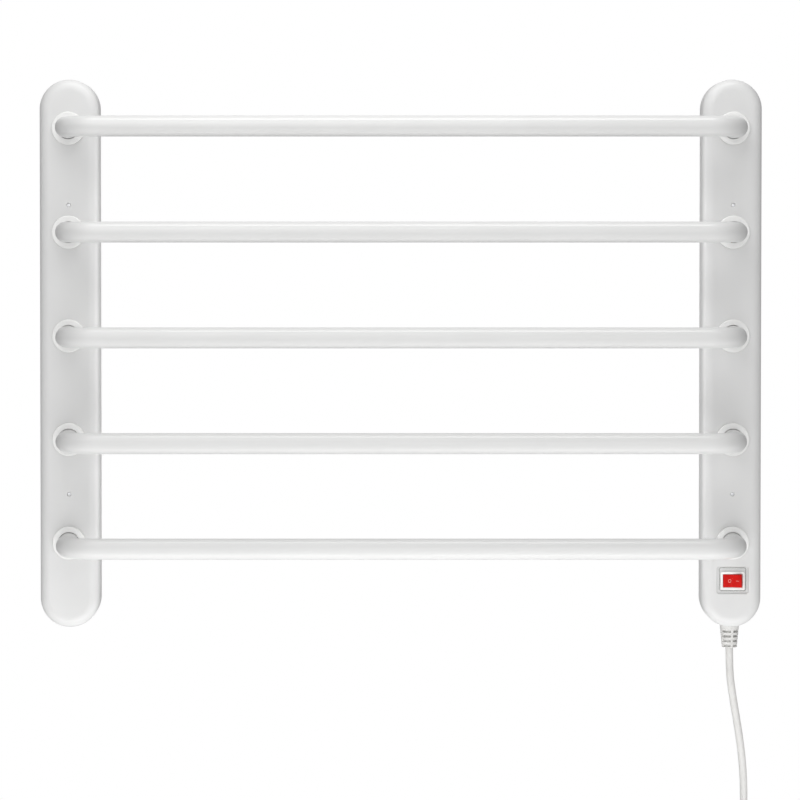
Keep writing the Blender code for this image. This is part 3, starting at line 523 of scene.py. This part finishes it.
def cord_route():
    """From inside the relief down to the floor, round the coil and on to the plug; the lists are in mm."""
    hanging = [
        (307.0, -15.0, -250.0),
        (307.0, -15.0, -258.0),
        (307.0, -15.0, -277.0),
        (307.9, -15.0, -301.7),
        (311.1, -15.0, -324.9),
        (315.0, -15.0, -348.2),
        (318.4, -14.7, -372.0),
        (320.5, -14.2, -396.0),
        (321.0, -14.0, -420.0),
        (321.0, -16.2, -435.8),
        (321.0, -22.4, -446.6),
        (321.0, -26.9, -451.1),
        (321.0, -32.7, -455.5),
        (321.0, -39.5, -458.4),
    ]
    tail = [
        (260.5, -91.6, -466.5),
        (245.5, -88.8, -466.5),
        (235.0, -85.4, -466.5),
        (218.0, -79.5, -465.7),
        (200.0, -74.4, -461.0),
        (182.0, -71.2, -454.7),
        (170.0, -70.0, -452.7),
        (158.0, -70.0, -452.5),
    ]
    start, end = ([[value * MM for value in point] for point in points] for points in (hanging, tail))
    return through([*start, *coil_points(), *end], 2.5 * MM)


def add_cord():
    """The mains cord, from inside the relief to inside the plug; also gives its path."""
    route = cord_route()
    shape = bmesh.new()
    sweep(shape, route, CORD_RADIUS, 24)
    solids = ("supply_cord", "cord_coil", "cord_tail")
    return finish_piece("mains_cord", shape, "cord_pvc", replaces=solids, sharp=60), route


def relief_radius(z):
    """The strain relief's outer radius at this height: it narrows from the column's foot down to its end."""
    share = (z + END_Z) / (RELIEF_END_Z + END_Z)
    return (8.8 - 1.8 * share) * MM


def relief_heights():
    """The heights of the relief's rings, from the top down: close together at the edges of the slots."""
    steps = [side * SLOT_HALF + shift * MM for side in (-1, 1) for shift in (-0.3, -0.15, 0, 0.15, 0.3)]
    heights = {round(centre + step, 7) for centre in SLOT_HEIGHTS for step in (0, *steps)}
    heights |= {round(-256 * MM, 7), round(RELIEF_END_Z + 0.9 * MM, 7)}
    return sorted(heights, reverse=True)


def slot_share(angle, z):
    """1 in a slot of the relief, 0 on a rib or between rows, and in between on the slot's soft edges."""
    from_rib = min(abs((angle - rib + math.pi) % (2 * math.pi) - math.pi) for rib in RIB_ANGLES)
    from_row = min(abs(z - height) for height in SLOT_HEIGHTS)
    in_row = 1 - eased((from_row - SLOT_HALF + SLOT_EDGE / 2) / SLOT_EDGE)
    return in_row * eased((from_rib - RIB_HALF) / math.radians(5) + 0.5)


def underside(x, y):
    """The height of the column's round foot at this place."""
    into_edge = max(0.0, FACE_Y + EDGE_RADIUS - y)
    inset = EDGE_RADIUS - math.sqrt(max(0.0, EDGE_RADIUS**2 - into_edge**2))
    radius = COLUMN_WIDTH / 2 - inset
    return COLUMN_WIDTH / 2 - END_Z - math.sqrt(radius**2 - (x - COLUMN_X) ** 2) - 0.05 * MM


def add_relief():
    """A tapered grommet with four rows of slots between ribs, its top cut to the column's round foot."""
    centre, angles = (CORD_X, CORD_Y), turns(96)
    shape = bmesh.new()

    def level(radius, z):
        return [shape.verts.new((*polar(centre, radius, angle), z)) for angle in angles]

    top, bore = -253.4 * MM, 3.9 * MM
    rim = [polar(centre, relief_radius(top - 0.1 * MM), angle) for angle in angles]
    saddle = [shape.verts.new((x, y, underside(x, y))) for x, y in rim]
    rows = [level(bore, top), saddle]
    for z in relief_heights():
        full = relief_radius(z)
        radii = [full + (SLOT_RADIUS - full) * slot_share(angle, z) for angle in angles]
        rows.append([shape.verts.new((*polar(centre, radius, a), z)) for radius, a in zip(radii, angles)])
    for inset, rise in quarter(0.7 * MM, 4)[::-1]:
        rows.append(level(relief_radius(RELIEF_END_Z) - inset, RELIEF_END_Z + rise))
    for radius, rise in ((4.1 * MM, 0), (3.7 * MM, 0.5 * MM), (3.7 * MM, 4 * MM)):
        rows.append(level(radius, RELIEF_END_Z + rise))
    skin(shape, rows)
    return finish_piece("relief", shape, "cord_pvc", replaces=("strain_relief",), sharp=50)


def add_tie():
    """A releasable strap round the turns at the coil's left, with its small head on top."""
    centre = (COIL_X - 35.5 * MM, FLOOR_Z + 7.2 * MM)
    soft = 0.25 * MM
    inner, outer = (21.4 * MM, 14.6 * MM), (22.8 * MM, 16.2 * MM)
    side = [value - 2 * soft for value in outer]
    back, front = COIL_Y + 4 * MM, COIL_Y - 4 * MM
    section = (
        (inner, 2.6, back), (side, 3.1, back), (outer, 3.3, back - soft),
        (outer, 3.3, front + soft), (side, 3.1, front), (inner, 2.6, front),
    )
    shape = bmesh.new()
    rings = [ring(shape, outline(*size, radius * MM, 8, centre), y) for size, radius, y in section]
    skin(shape, rings, closed=True)
    strap = finish_piece("strap", shape, "terminal_plastic", replaces=("coil_tie",))
    centre = (COIL_X - 33 * MM, FLOOR_Z + 16.4 * MM)
    end = ((0.6 * MM, 0.5 * MM), (0.9 * MM, 0.15 * MM), (0.8 * MM, 0))
    section = [(back + past, inset) for past, inset in end]
    section += [(front - past, inset) for past, inset in end[::-1]]
    shape = bmesh.new()
    rings = []
    for y, inset in section:
        rings.append(ring(shape, outline(7 * MM - inset, 3.6 * MM - inset, 0.9 * MM, 4, centre), y))
    capped(shape, rings)
    return [strap, finish_piece("strap_head", shape, "terminal_plastic")]


def groove_depth(along, angle):
    """Finger grooves at the front and back of the plug's flange, clear of the side contacts, in mm."""
    if not -42 < along < -27:
        return 0.0
    sideways = eased((abs(math.cos(angle)) - 0.55) / 0.2)
    depth = 0.35 * sideways * eased((-27 - along) / 2) * eased((along + 42) / 1.5)
    return depth * (0.5 + 0.5 * math.cos(16 * angle))


def add_plug_shell():
    """The plug's moulded body with its ribbed neck, from (radius, place along its axis) pairs in mm."""
    neck = [(0.0, 0), (4.2, 0), (4.6, -0.3)]
    for number in range(4):
        start, top = -1.4 - 3.1 * number, 5.0 + 0.22 * number
        neck += [(top, start), (top + 0.15, start - 0.3), (top + 0.15, start - 1.5), (top, start - 1.8)]
        neck += [(top - 0.75, start - 2.0), (top - 0.75, start - 2.8)]
    body = [
        (6.2, -14.2), (7.6, -15.6), (9.3, -17.4), (11.2, -19.3), (13.3, -21.6), (15.2, -23.9),
        (16.4, -25.6), (17.1, -27.0), (17.42, -28.4), (17.5, -29.6), (17.5, -41.3), (17.35, -42.1),
        (17.0, -42.6), (16.4, -42.95), (15.8, -43.0), (12.0, -43.0), (11.6, -42.6), (0.0, -42.6),
    ]
    shape = bmesh.new()
    rows = []
    for radius, along in [*neck, *body]:
        row = []
        for angle in turns(96):
            size = max(radius - groove_depth(along, angle), 0.02) * MM
            row.append(shape.verts.new((PLUG_X + along * MM, *polar((PLUG_Y, PLUG_Z), size, angle))))
        rows.append(row)
    capped(shape, rows)
    return finish_piece("plug_shell", shape, "cord_pvc", replaces=("plug_body",), sharp=40)


def add_pins():
    """The plug's two round pins, each with a raised seat where it leaves the face."""
    pin = [(PIN_RADIUS, PLUG_FACE_X + 1 * MM)]
    for angle in [math.pi / 2 * i / 7 for i in range(7)]:
        pin.append((PIN_RADIUS * math.cos(angle), PIN_TIP_X + PIN_ROUND * (1 - math.sin(angle))))
    seat = [(2.55, 0.2), (2.55, -0.2), (2.95, -0.4), (3.1, 0), (3.1, 0.2)]
    seat = [(radius * MM, PLUG_FACE_X + along * MM) for radius, along in seat]
    pieces = []
    for label, side in (("front", -1), ("back", 1)):
        place = ((PLUG_Y + side * 9.5 * MM, PLUG_Z), "X")
        solid = (f"plug_pin_{label}",)
        pieces.append(lathe(f"pin_{label}", pin, *place, "pin_nickel", 32, closed=False, replaces=solid))
        pieces.append(lathe(f"pin_seat_{label}", seat, *place, "cord_pvc", 32))
    return pieces


def add_side_contacts():
    """Thin metal strips over the plug's upper and lower sides; profile holds (place along, radius) in mm."""
    profile = ((-43.05, 16.2), (-43.05, 16.9), (-42.6, 17.35), (-41.9, 17.5), (-33.5, 17.5), (-33.2, 17.3))
    half_angle = math.radians(13)
    pieces = []
    for label, up in (("upper", 1), ("lower", -1)):
        angles = [up * math.pi / 2 + half_angle * (k / 4 - 1) for k in range(9)]
        shape = bmesh.new()
        rows = []
        for along, radius in profile:
            arc = [polar((PLUG_Y, PLUG_Z), radius * MM, angle) for angle in angles]
            rows.append([shape.verts.new((PLUG_X + along * MM, y, z)) for y, z in arc])
        sheet(shape, rows)
        piece = finish_piece(f"plug_contact_{label}", shape, "pin_nickel")
        thicken(piece, 0.5 * MM)
        pieces.append(piece)
    return pieces


# ---------------------------------------------------------------- the rail
def add_tubes():
    """Five tubes from column to column, each with both ends bent back into its collars."""
    for number, z in enumerate(TUBE_HEIGHTS, 1):
        path = [(-COLUMN_X, LEG_END_Y, z), (-COLUMN_X, TUBE_Y + BEND_RADIUS + SUPPORT, z)]
        path += [(-COLUMN_X + along, TUBE_Y + back, z) for back, along in quarter(BEND_RADIUS, 28)]
        path.append((-COLUMN_X + BEND_RADIUS + SUPPORT, TUBE_Y, z))
        path += [(-x, y, z) for x, y, z in reversed(path)]
        shape = bmesh.new()
        sweep(shape, path, TUBE_RADIUS, 56)
        finish_piece(f"tube_{number}", shape, "tube_enamel", replaces=(f"rail_tube_{number}",), sharp=60)


def add_collars():
    """A round collar on the column's face for each end of each tube, with a neck through the face."""
    front, base, back = -33.3 * MM, -30.3 * MM, -24 * MM
    outer, bore, neck, rounding = 15.25 * MM, 9.95 * MM, 11.2 * MM, 0.9 * MM
    profile = [(bore, back), (bore, front + 0.35 * MM), (bore + 0.1 * MM, front + 0.1 * MM)]
    profile += [(bore + 0.35 * MM, front), (bore + 0.6 * MM, front), (outer - rounding - SUPPORT, front)]
    profile += [(outer - inset, front + rise) for inset, rise in quarter(rounding, 7)]
    profile += [(outer, base - 0.5 * MM), (outer - 0.25 * MM, base), (neck, base), (neck, back)]
    for side, x in (("left", -COLUMN_X), ("right", COLUMN_X)):
        for number, z in enumerate(TUBE_HEIGHTS, 1):
            lathe(
                f"collar_{side}_{number}", profile, (x, z), "Y", "collar_plastic", 72,
                replaces=(f"{side}_collar_{number}",), sharp=50,
            )


def pocket_rings(shape):
    """The switch pocket's rings: from its soft lip on the face to its floor, the window and the back."""
    lip, floor_round = 0.35 * MM, 0.5 * MM
    mouth, floor = (29.6 * MM, 25.5 * MM), (28.6 * MM, 24.9 * MM)
    depth = POCKET_FLOOR_Y - FACE_Y

    def outline_at(y, outset):
        share = (y - FACE_Y) / depth
        width, height = (mouth[i] + (floor[i] - mouth[i]) * share + 2 * outset for i in (0, 1))
        return outline(width, height, 2.4 * MM + outset, 8, POCKET_CENTRE)

    rings = [ring(shape, outline_at(FACE_Y, lip + SUPPORT), FACE_Y)]
    for outset, rise in quarter(lip, 7):
        rings.append(ring(shape, outline_at(FACE_Y + rise, outset), FACE_Y + rise))
    rings.append(ring(shape, outline_at(POCKET_FLOOR_Y - floor_round, 0), POCKET_FLOOR_Y - floor_round))
    for inset, rise in quarter(floor_round, 5)[::-1]:
        y = POCKET_FLOOR_Y - rise
        rings.append(ring(shape, outline_at(y, inset - floor_round), y))
    rings.append(ring(shape, outline_at(POCKET_FLOOR_Y, -floor_round - SUPPORT), POCKET_FLOOR_Y))
    window = (20.4 * MM, 16 * MM, 0.5 * MM, 8, (SWITCH_X, SWITCH_Z))
    backing = (33.4 * MM, 28.4 * MM, 3 * MM, 8, POCKET_CENTRE)
    back = POCKET_FLOOR_Y + 1.8 * MM
    for size, y in ((window, POCKET_FLOOR_Y), (window, back), (backing, back), (backing, FACE_Y + WALL)):
        rings.append(ring(shape, outline(*size), y))
    return rings


def add_cover(side, x):
    """A column's shell: round ends, a soft front edge, holes for tubes and screws, and the pocket."""
    shape = bmesh.new()

    def at(inset, y):
        size = (COLUMN_WIDTH - 2 * inset, COLUMN_HEIGHT - 2 * inset, COLUMN_WIDTH / 2 - inset)
        return ring(shape, outline(*size, 24, (x, 0)), y)

    rings = [at(EDGE_RADIUS + SUPPORT, FACE_Y)]
    rings += [at(inset, FACE_Y + rise) for inset, rise in quarter(EDGE_RADIUS, 14)]
    rings.append(at(0, FACE_Y + EDGE_RADIUS + SUPPORT))
    rings += [at(0, -0.5 * MM), at(0.1 * MM, -0.15 * MM), at(0.35 * MM, 0)]
    rings += [at(WALL - 0.2 * MM, 0), at(WALL, -0.2 * MM), at(WALL, FACE_Y + EDGE_RADIUS + SUPPORT)]
    for inset, rise in quarter(EDGE_RADIUS - WALL, 8)[::-1]:
        rings.append(at(WALL + inset, FACE_Y + WALL + rise))
    skin(shape, rings)
    openings = []
    for z in TUBE_HEIGHTS:
        openings.append([ring(shape, circle(TUBE_HOLE, 32, (x, z)), y) for y in (FACE_Y, FACE_Y + WALL)])
    for z in LOCK_HEIGHTS:
        soft = 0.45 * MM
        hole = [ring(shape, circle(LOCK_HOLE + soft + SUPPORT, 24, (x, z)), FACE_Y)]
        for outset, rise in quarter(soft, 4):
            hole.append(ring(shape, circle(LOCK_HOLE + outset, 24, (x, z)), FACE_Y + rise))
        hole.append(ring(shape, circle(LOCK_HOLE, 24, (x, z)), FACE_Y + WALL))
        openings.append(hole)
    if side == "right":
        openings.append(pocket_rings(shape))
    for opening in openings:
        skin(shape, opening)
    fill(shape, [rings[0], *(opening[0] for opening in openings)])
    fill(shape, [rings[-1], *(opening[-1] for opening in openings)])
    finish_piece(f"shell_{side}", shape, "white_enamel", replaces=(f"{side}_cover",), sharp=40)


# ---------------------------------------------------------------- the switch
def add_bezel():
    """The switch's body behind the pocket's window, and its frame round the key's well; sizes in mm."""
    back, front = POCKET_FLOOR_Y - 0.3 * MM, POCKET_FLOOR_Y - 2.1 * MM
    outer, well, body = (22.4, 17.0), (18.2, 12.3), (19.8, 15.4)
    shape = bmesh.new()

    def at(size, inset, radius, y):
        width, height = ((value - 2 * inset) * MM for value in size)
        return ring(shape, outline(width, height, radius * MM, 6, (SWITCH_X, SWITCH_Z)), y)

    rings = [at(body, 0, 0.5, SWITCH_BACK_Y), at(body, 0, 0.5, back)]
    rings += [at(outer, 0.2, 1.1, back), at(outer, 0, 1.3, back - 0.2 * MM)]
    for inset, rise in quarter(0.5 * MM, 5)[::-1]:
        rings.append(at(outer, inset / MM, 1.3 - inset / MM * 0.6, front + rise))
    rings += [at(outer, 0.8, 0.9, front), at(well, -0.7, 0.8, front)]
    for outset, rise in quarter(0.4 * MM, 5):
        rings.append(at(well, -outset / MM, 0.5 + outset / MM * 0.5, front + rise))
    rings.append(at(well, 0, 0.5, KEY_WELL_Y))
    capped(shape, rings)
    finish_piece("bezel", shape, "switch_plastic", replaces=("switch_housing",), sharp=40)


def key_height(x):
    """How far the key's V face stands in front of its pivot: least in the middle, where the V is rounded."""
    middle, rise, reach = 1.85 * MM, 1.5 * MM, 8.2 * MM
    return middle + rise * (math.sqrt((x / reach) ** 2 + 0.004) - 0.063) / 0.94


def on_key(x, y, z):
    """A point of the key, given from its pivot, turned to its rest position."""
    cos, sin = math.cos(-ROCKER_TILT), math.sin(-ROCKER_TILT)
    return (SWITCH_X + x * cos - y * sin, PIVOT_Y + x * sin + y * cos, SWITCH_Z + z)


def key_section():
    """The key's (x, y) outline from its pivot: a V in front, round ends and a flat back."""
    steps = 16
    face_half = math.sqrt(KEY_RADIUS**2 - (3.35 * MM) ** 2) - 0.35 * MM
    section = []
    for i in range(-steps, steps + 1):
        x = face_half * i / steps
        section.append((x, -key_height(x)))
    front, back = math.asin(3.0 * MM / KEY_RADIUS), math.asin(2.2 * MM / KEY_RADIUS)
    right = [polar((0, 0), KEY_RADIUS, (front + back) * i / 10 - front) for i in range(11)]
    left = [(-x, y) for x, y in reversed(right)]
    return [*section, *right, (6.5 * MM, 3.0 * MM), (-6.5 * MM, 3.0 * MM), *left]


def add_key():
    """The red see-saw key with soft upper and lower edges, and the stem behind it."""
    soft = 0.45 * MM
    middle = Vector((0, 1 * MM))
    edge = [(0, soft), (0.07 * MM, 0.21 * MM), (0.2 * MM, 0.07 * MM), (soft, 0)]
    layers = [(rise - KEY_HALF_HEIGHT, inset) for rise, inset in edge]
    layers += [(-z, inset) for z, inset in reversed(layers)]
    shape = bmesh.new()
    rings = []
    for z, inset in layers:
        row = []
        for point in key_section():
            inward = Vector(point) - middle
            shrunk = middle + inward * (1 - inset / inward.length)
            row.append(shape.verts.new(on_key(shrunk.x, shrunk.y, z)))
        rings.append(row)
    capped(shape, rings)
    finish_piece("key", shape, "rocker_plastic", body="rocker", replaces=("switch_rocker",), sharp=32)
    shape = bmesh.new()
    rings = []
    for y, half_width in ((2.9, 2.2), (3.4, 2.0), (10.4, 1.1), (10.7, 0.9), (10.8, 0.6)):
        points = outline(2 * half_width * MM, 12 * MM, 0.4 * MM, 3, support=0)
        rings.append([shape.verts.new(on_key(x, y * MM, z)) for x, z in points])
    capped(shape, rings)
    finish_piece("key_stem", shape, "rocker_plastic", body="rocker")


def add_marks():
    """The usual off ring and on bar, printed on the two halves of the key."""
    ring_x, bar_x, bar_length, bar_half = -2.5 * MM, 3.4 * MM, 2.6 * MM, 0.16 * MM

    def point(x, z):
        return on_key(x, -key_height(x) - 0.03 * MM, z)

    off = bmesh.new()
    rings = []
    for radius in (1.6 * MM, 1.25 * MM):
        places = [(ring_x + 0.8 * radius * math.cos(angle), radius * math.sin(angle)) for angle in turns(32)]
        rings.append([off.verts.new(point(x, z)) for x, z in places])
    skin(off, rings)
    on = bmesh.new()
    columns = [bar_x + bar_length * i / 8 for i in range(9)]
    sheet(on, [[on.verts.new(point(x, z)) for z in (-bar_half, bar_half)] for x in columns])
    for name, shape in (("key_mark_off", off), ("key_mark_on", on)):
        thicken(finish_piece(name, shape, "rocker_plastic", body="rocker", material="mark"), 0.05 * MM)


def add_cap():
    """The clear splash cap over the switch, open behind; insets and corner radii in mm."""
    wall, inner_round = 0.6, 0.6
    back, front = POCKET_FLOOR_Y - 0.3 * MM, CAP_FRONT_Y
    inside = front + wall * MM
    shape = bmesh.new()

    def at(inset, radius, y):
        width, height = ((value - 2 * inset) * MM for value in CAP_SIZE)
        return ring(shape, outline(width, height, radius * MM, 8, CAP_CENTRE), y)

    rings = [at(1.4, 1.3, front)]
    for inset, rise in quarter(1.1 * MM, 8):
        rings.append(at(inset / MM, 2 - inset / MM * 0.5, front + rise))
    rings += [at(0, 2, back - 0.2 * MM), at(0.15, 1.9, back)]
    rings += [at(wall - 0.1, 1.5, back), at(wall, 1.4, back - 0.2 * MM)]
    for inset, rise in quarter(inner_round * MM, 6)[::-1]:
        rings.append(at(wall + inset / MM, 1.4 - inset / MM * 0.5, inside + rise))
    rings.append(at(wall + inner_round + 0.3, 1.0, inside))
    capped(shape, rings)
    finish_piece("splash_cap", shape, "boot_pvc", replaces=("switch_boot",), sharp=40)


def add_painted_shadow_line():
    """A grey band on the pocket's floor round the cap's rim, shaped like a gasket: a painted shadow line
    where the cap meets the floor.
    """
    shape = bmesh.new()
    rings = []
    for outset, y in ((0.1, -0.02), (0.1, -0.26), (-0.6, -0.26), (-0.6, -0.02)):
        width, height = ((value + 2 * outset) * MM for value in CAP_SIZE)
        points = outline(width, height, (2 + outset) * MM, 8, CAP_CENTRE, 0)
        rings.append(ring(shape, points, POCKET_FLOOR_Y + y * MM))
    skin(shape, rings, closed=True)
    finish_piece("cap_painted_shadow_line", shape, "boot_pvc", material="painted_shadow_grey")


# ---------------------------------------------------------------- stage and light
def add_floor():
    """A pale floor just under the tie, the lowest piece, which fades out towards the wall and far away."""
    half_width, half_depth, centre_y = 1.6, 1.15, -0.9
    shape = bmesh.new()
    bmesh.ops.create_grid(shape, x_segments=1, y_segments=1, size=1)
    for vertex in shape.verts:
        vertex.co = (vertex.co.x * half_width, centre_y + vertex.co.y * half_depth, FLOOR_Z - 1.15 * MM)
    mesh = bpy.data.meshes.new("floor")
    shape.to_mesh(mesh)
    shape.free()
    floor = bpy.data.objects.new("floor", mesh)
    bpy.context.scene.collection.objects.link(floor)
    material = bpy.data.materials.new("floor_paper")
    material.use_nodes = True
    nodes, links = material.node_tree.nodes, material.node_tree.links
    bsdf = nodes["Principled BSDF"]
    bsdf.inputs["Base Color"].default_value = (0.92, 0.92, 0.92, 1)
    bsdf.inputs["Roughness"].default_value = 0.9
    bsdf.inputs["Specular IOR Level"].default_value = 0.1
    bsdf.inputs["Emission Color"].default_value = (1, 1, 1, 1)
    bsdf.inputs["Emission Strength"].default_value = 0.36
    place = nodes.new("ShaderNodeNewGeometry").outputs["Position"]
    axes = nodes.new("ShaderNodeSeparateXYZ")
    links.new(place, axes.inputs[0])
    fade = None
    across = nodes.new("ShaderNodeMath")
    across.operation = "ABSOLUTE"
    links.new(axes.outputs["X"], across.inputs[0])
    depth, width = axes.outputs["Y"], across.outputs[0]
    for source, clear, solid in ((depth, 0.24, 0.04), (depth, -2.0, -1.0), (width, 1.58, 0.8)):
        span = nodes.new("ShaderNodeMapRange")
        span.interpolation_type = "SMOOTHSTEP"
        span.inputs["From Min"].default_value = clear
        span.inputs["From Max"].default_value = solid
        links.new(source, span.inputs["Value"])
        if fade is None:
            fade = span.outputs["Result"]
            continue
        both = nodes.new("ShaderNodeMath")
        both.operation = "MULTIPLY"
        links.new(fade, both.inputs[0])
        links.new(span.outputs["Result"], both.inputs[1])
        fade = both.outputs[0]
    links.new(fade, bsdf.inputs["Alpha"])
    mesh.materials.append(material)


# The world's light: a brightness, and the ranges of direction along each axis over which it fades in.
MIDDLE = (("X", 0.75, 0.35), ("X", -0.75, -0.35))
GLOW = (
    (0.21, ()),
    (0.5, (("Z", 0.2, 0.5), ("Y", 0.1, 0.4), *MIDDLE)),
    (0.13, (("Z", 0.2, 0.5), ("Y", -0.1, -0.4), *MIDDLE)),
    (0.7, (("Y", -0.8, -0.95), *MIDDLE)),
    (0.36, (("Y", -0.3, -0.6), ("X", -0.2, -0.5))),
    (0.46, (("Y", -0.3, -0.6), ("X", 0.2, 0.5))),
)
AIM = (0, -0.05, 0)
# Lamps: a name, a place, what it points at, a size, a power and how widely it spreads, in degrees
LAMPS = (
    ("top_strip", (0.0, -0.22, 1.0), AIM, (1.0, 0.12), 4.7, 180),
    ("bottom_strip", (0.0, -0.2, -0.458), AIM, (0.9, 0.1), 0.72, 180),
    ("low_strip", (0.0, -0.7, -0.43), AIM, (1.0, 0.2), 0.4, 180),
    ("key", (-0.35, -1.0, 1.0), AIM, (1.2, 0.5), 3.6, 180),
    ("near_key", (-0.25, -0.9, 0.6), AIM, (0.5, 0.4), 0.45, 180),
    ("front_fill", (0.0, -2.6, 0.3), AIM, (1.0, 1.0), 2.7, 180),
    ("inner_left", (-0.02, 0.0, 0.0), (-1, -0.03, 0.0), (0.05, 0.45), 0.06, 50),
    ("inner_right", (0.02, 0.0, 0.0), (1, -0.03, 0.0), (0.05, 0.45), 0.05, 50),
)


def add_light(name, place, target, size, power, spread):
    """A rectangular lamp that the camera doesn't see."""
    data = bpy.data.lights.new(name, "AREA")
    data.shape = "RECTANGLE"
    data.size, data.size_y = size
    data.energy = power
    data.spread = math.radians(spread)
    light = bpy.data.objects.new(name, data)
    light.location = place
    light.rotation_euler = (Vector(target) - Vector(place)).to_track_quat("-Z", "Y").to_euler()
    light.visible_camera = False
    bpy.context.scene.collection.objects.link(light)


def add_world():
    """White to the eye; as a light, a soft glow from the front and above, with darker sides."""
    world = bpy.data.worlds.new("studio")
    world.use_nodes = True
    nodes, links = world.node_tree.nodes, world.node_tree.links
    nodes.clear()
    out = nodes.new("ShaderNodeOutputWorld")
    mix = nodes.new("ShaderNodeMixShader")
    seen, lit = nodes.new("ShaderNodeBackground"), nodes.new("ShaderNodeBackground")
    seen.inputs["Color"].default_value = (1, 1, 1, 1)
    links.new(nodes.new("ShaderNodeLightPath").outputs["Is Camera Ray"], mix.inputs[0])
    links.new(lit.outputs[0], mix.inputs[1])
    links.new(seen.outputs[0], mix.inputs[2])
    links.new(mix.outputs[0], out.inputs[0])
    axes = nodes.new("ShaderNodeSeparateXYZ")
    links.new(nodes.new("ShaderNodeTexCoord").outputs["Generated"], axes.inputs[0])

    def arithmetic(operation, first, second):
        node = nodes.new("ShaderNodeMath")
        node.operation = operation
        for value, socket in zip((first, second), node.inputs):
            if isinstance(value, float):
                socket.default_value = value
            else:
                links.new(value, socket)
        return node.outputs[0]

    total = 0.0
    for value, ranges in GLOW:
        glow = value
        for axis, start, end in ranges:
            fade = nodes.new("ShaderNodeMapRange")
            fade.interpolation_type = "SMOOTHSTEP"
            fade.inputs["From Min"].default_value = start
            fade.inputs["From Max"].default_value = end
            links.new(axes.outputs[axis], fade.inputs["Value"])
            glow = arithmetic("MULTIPLY", fade.outputs[0], glow)
        total = arithmetic("ADD", glow, total)
    links.new(total, lit.inputs["Color"])
    bpy.context.scene.world = world


def add_lights():
    """The lamps, and colours shown as they are."""
    for lamp in LAMPS:
        add_light(*lamp)
    scene = bpy.context.scene
    scene.view_settings.view_transform = "Standard"
    scene.view_settings.look = "None"


# ---------------------------------------------------------------- putting it together
add_camera()
MATERIALS = make_materials()
for part in frame["record"]["subparts"]:
    for holder in frame["nodes"][part["node"]].material_slots:
        holder.material = MATERIALS[part["material_slot"]]
cord, cord_path = add_cord()
relief = add_relief()
extras = [relief, *add_tie(), add_plug_shell(), *add_pins(), *add_side_contacts()]
add_tubes()
add_collars()
add_cover("left", -COLUMN_X)
add_cover("right", COLUMN_X)
add_bezel()
add_key()
add_marks()
add_cap()
add_painted_shadow_line()
add_floor()
add_world()
add_lights()

bpy.context.view_layer.update()
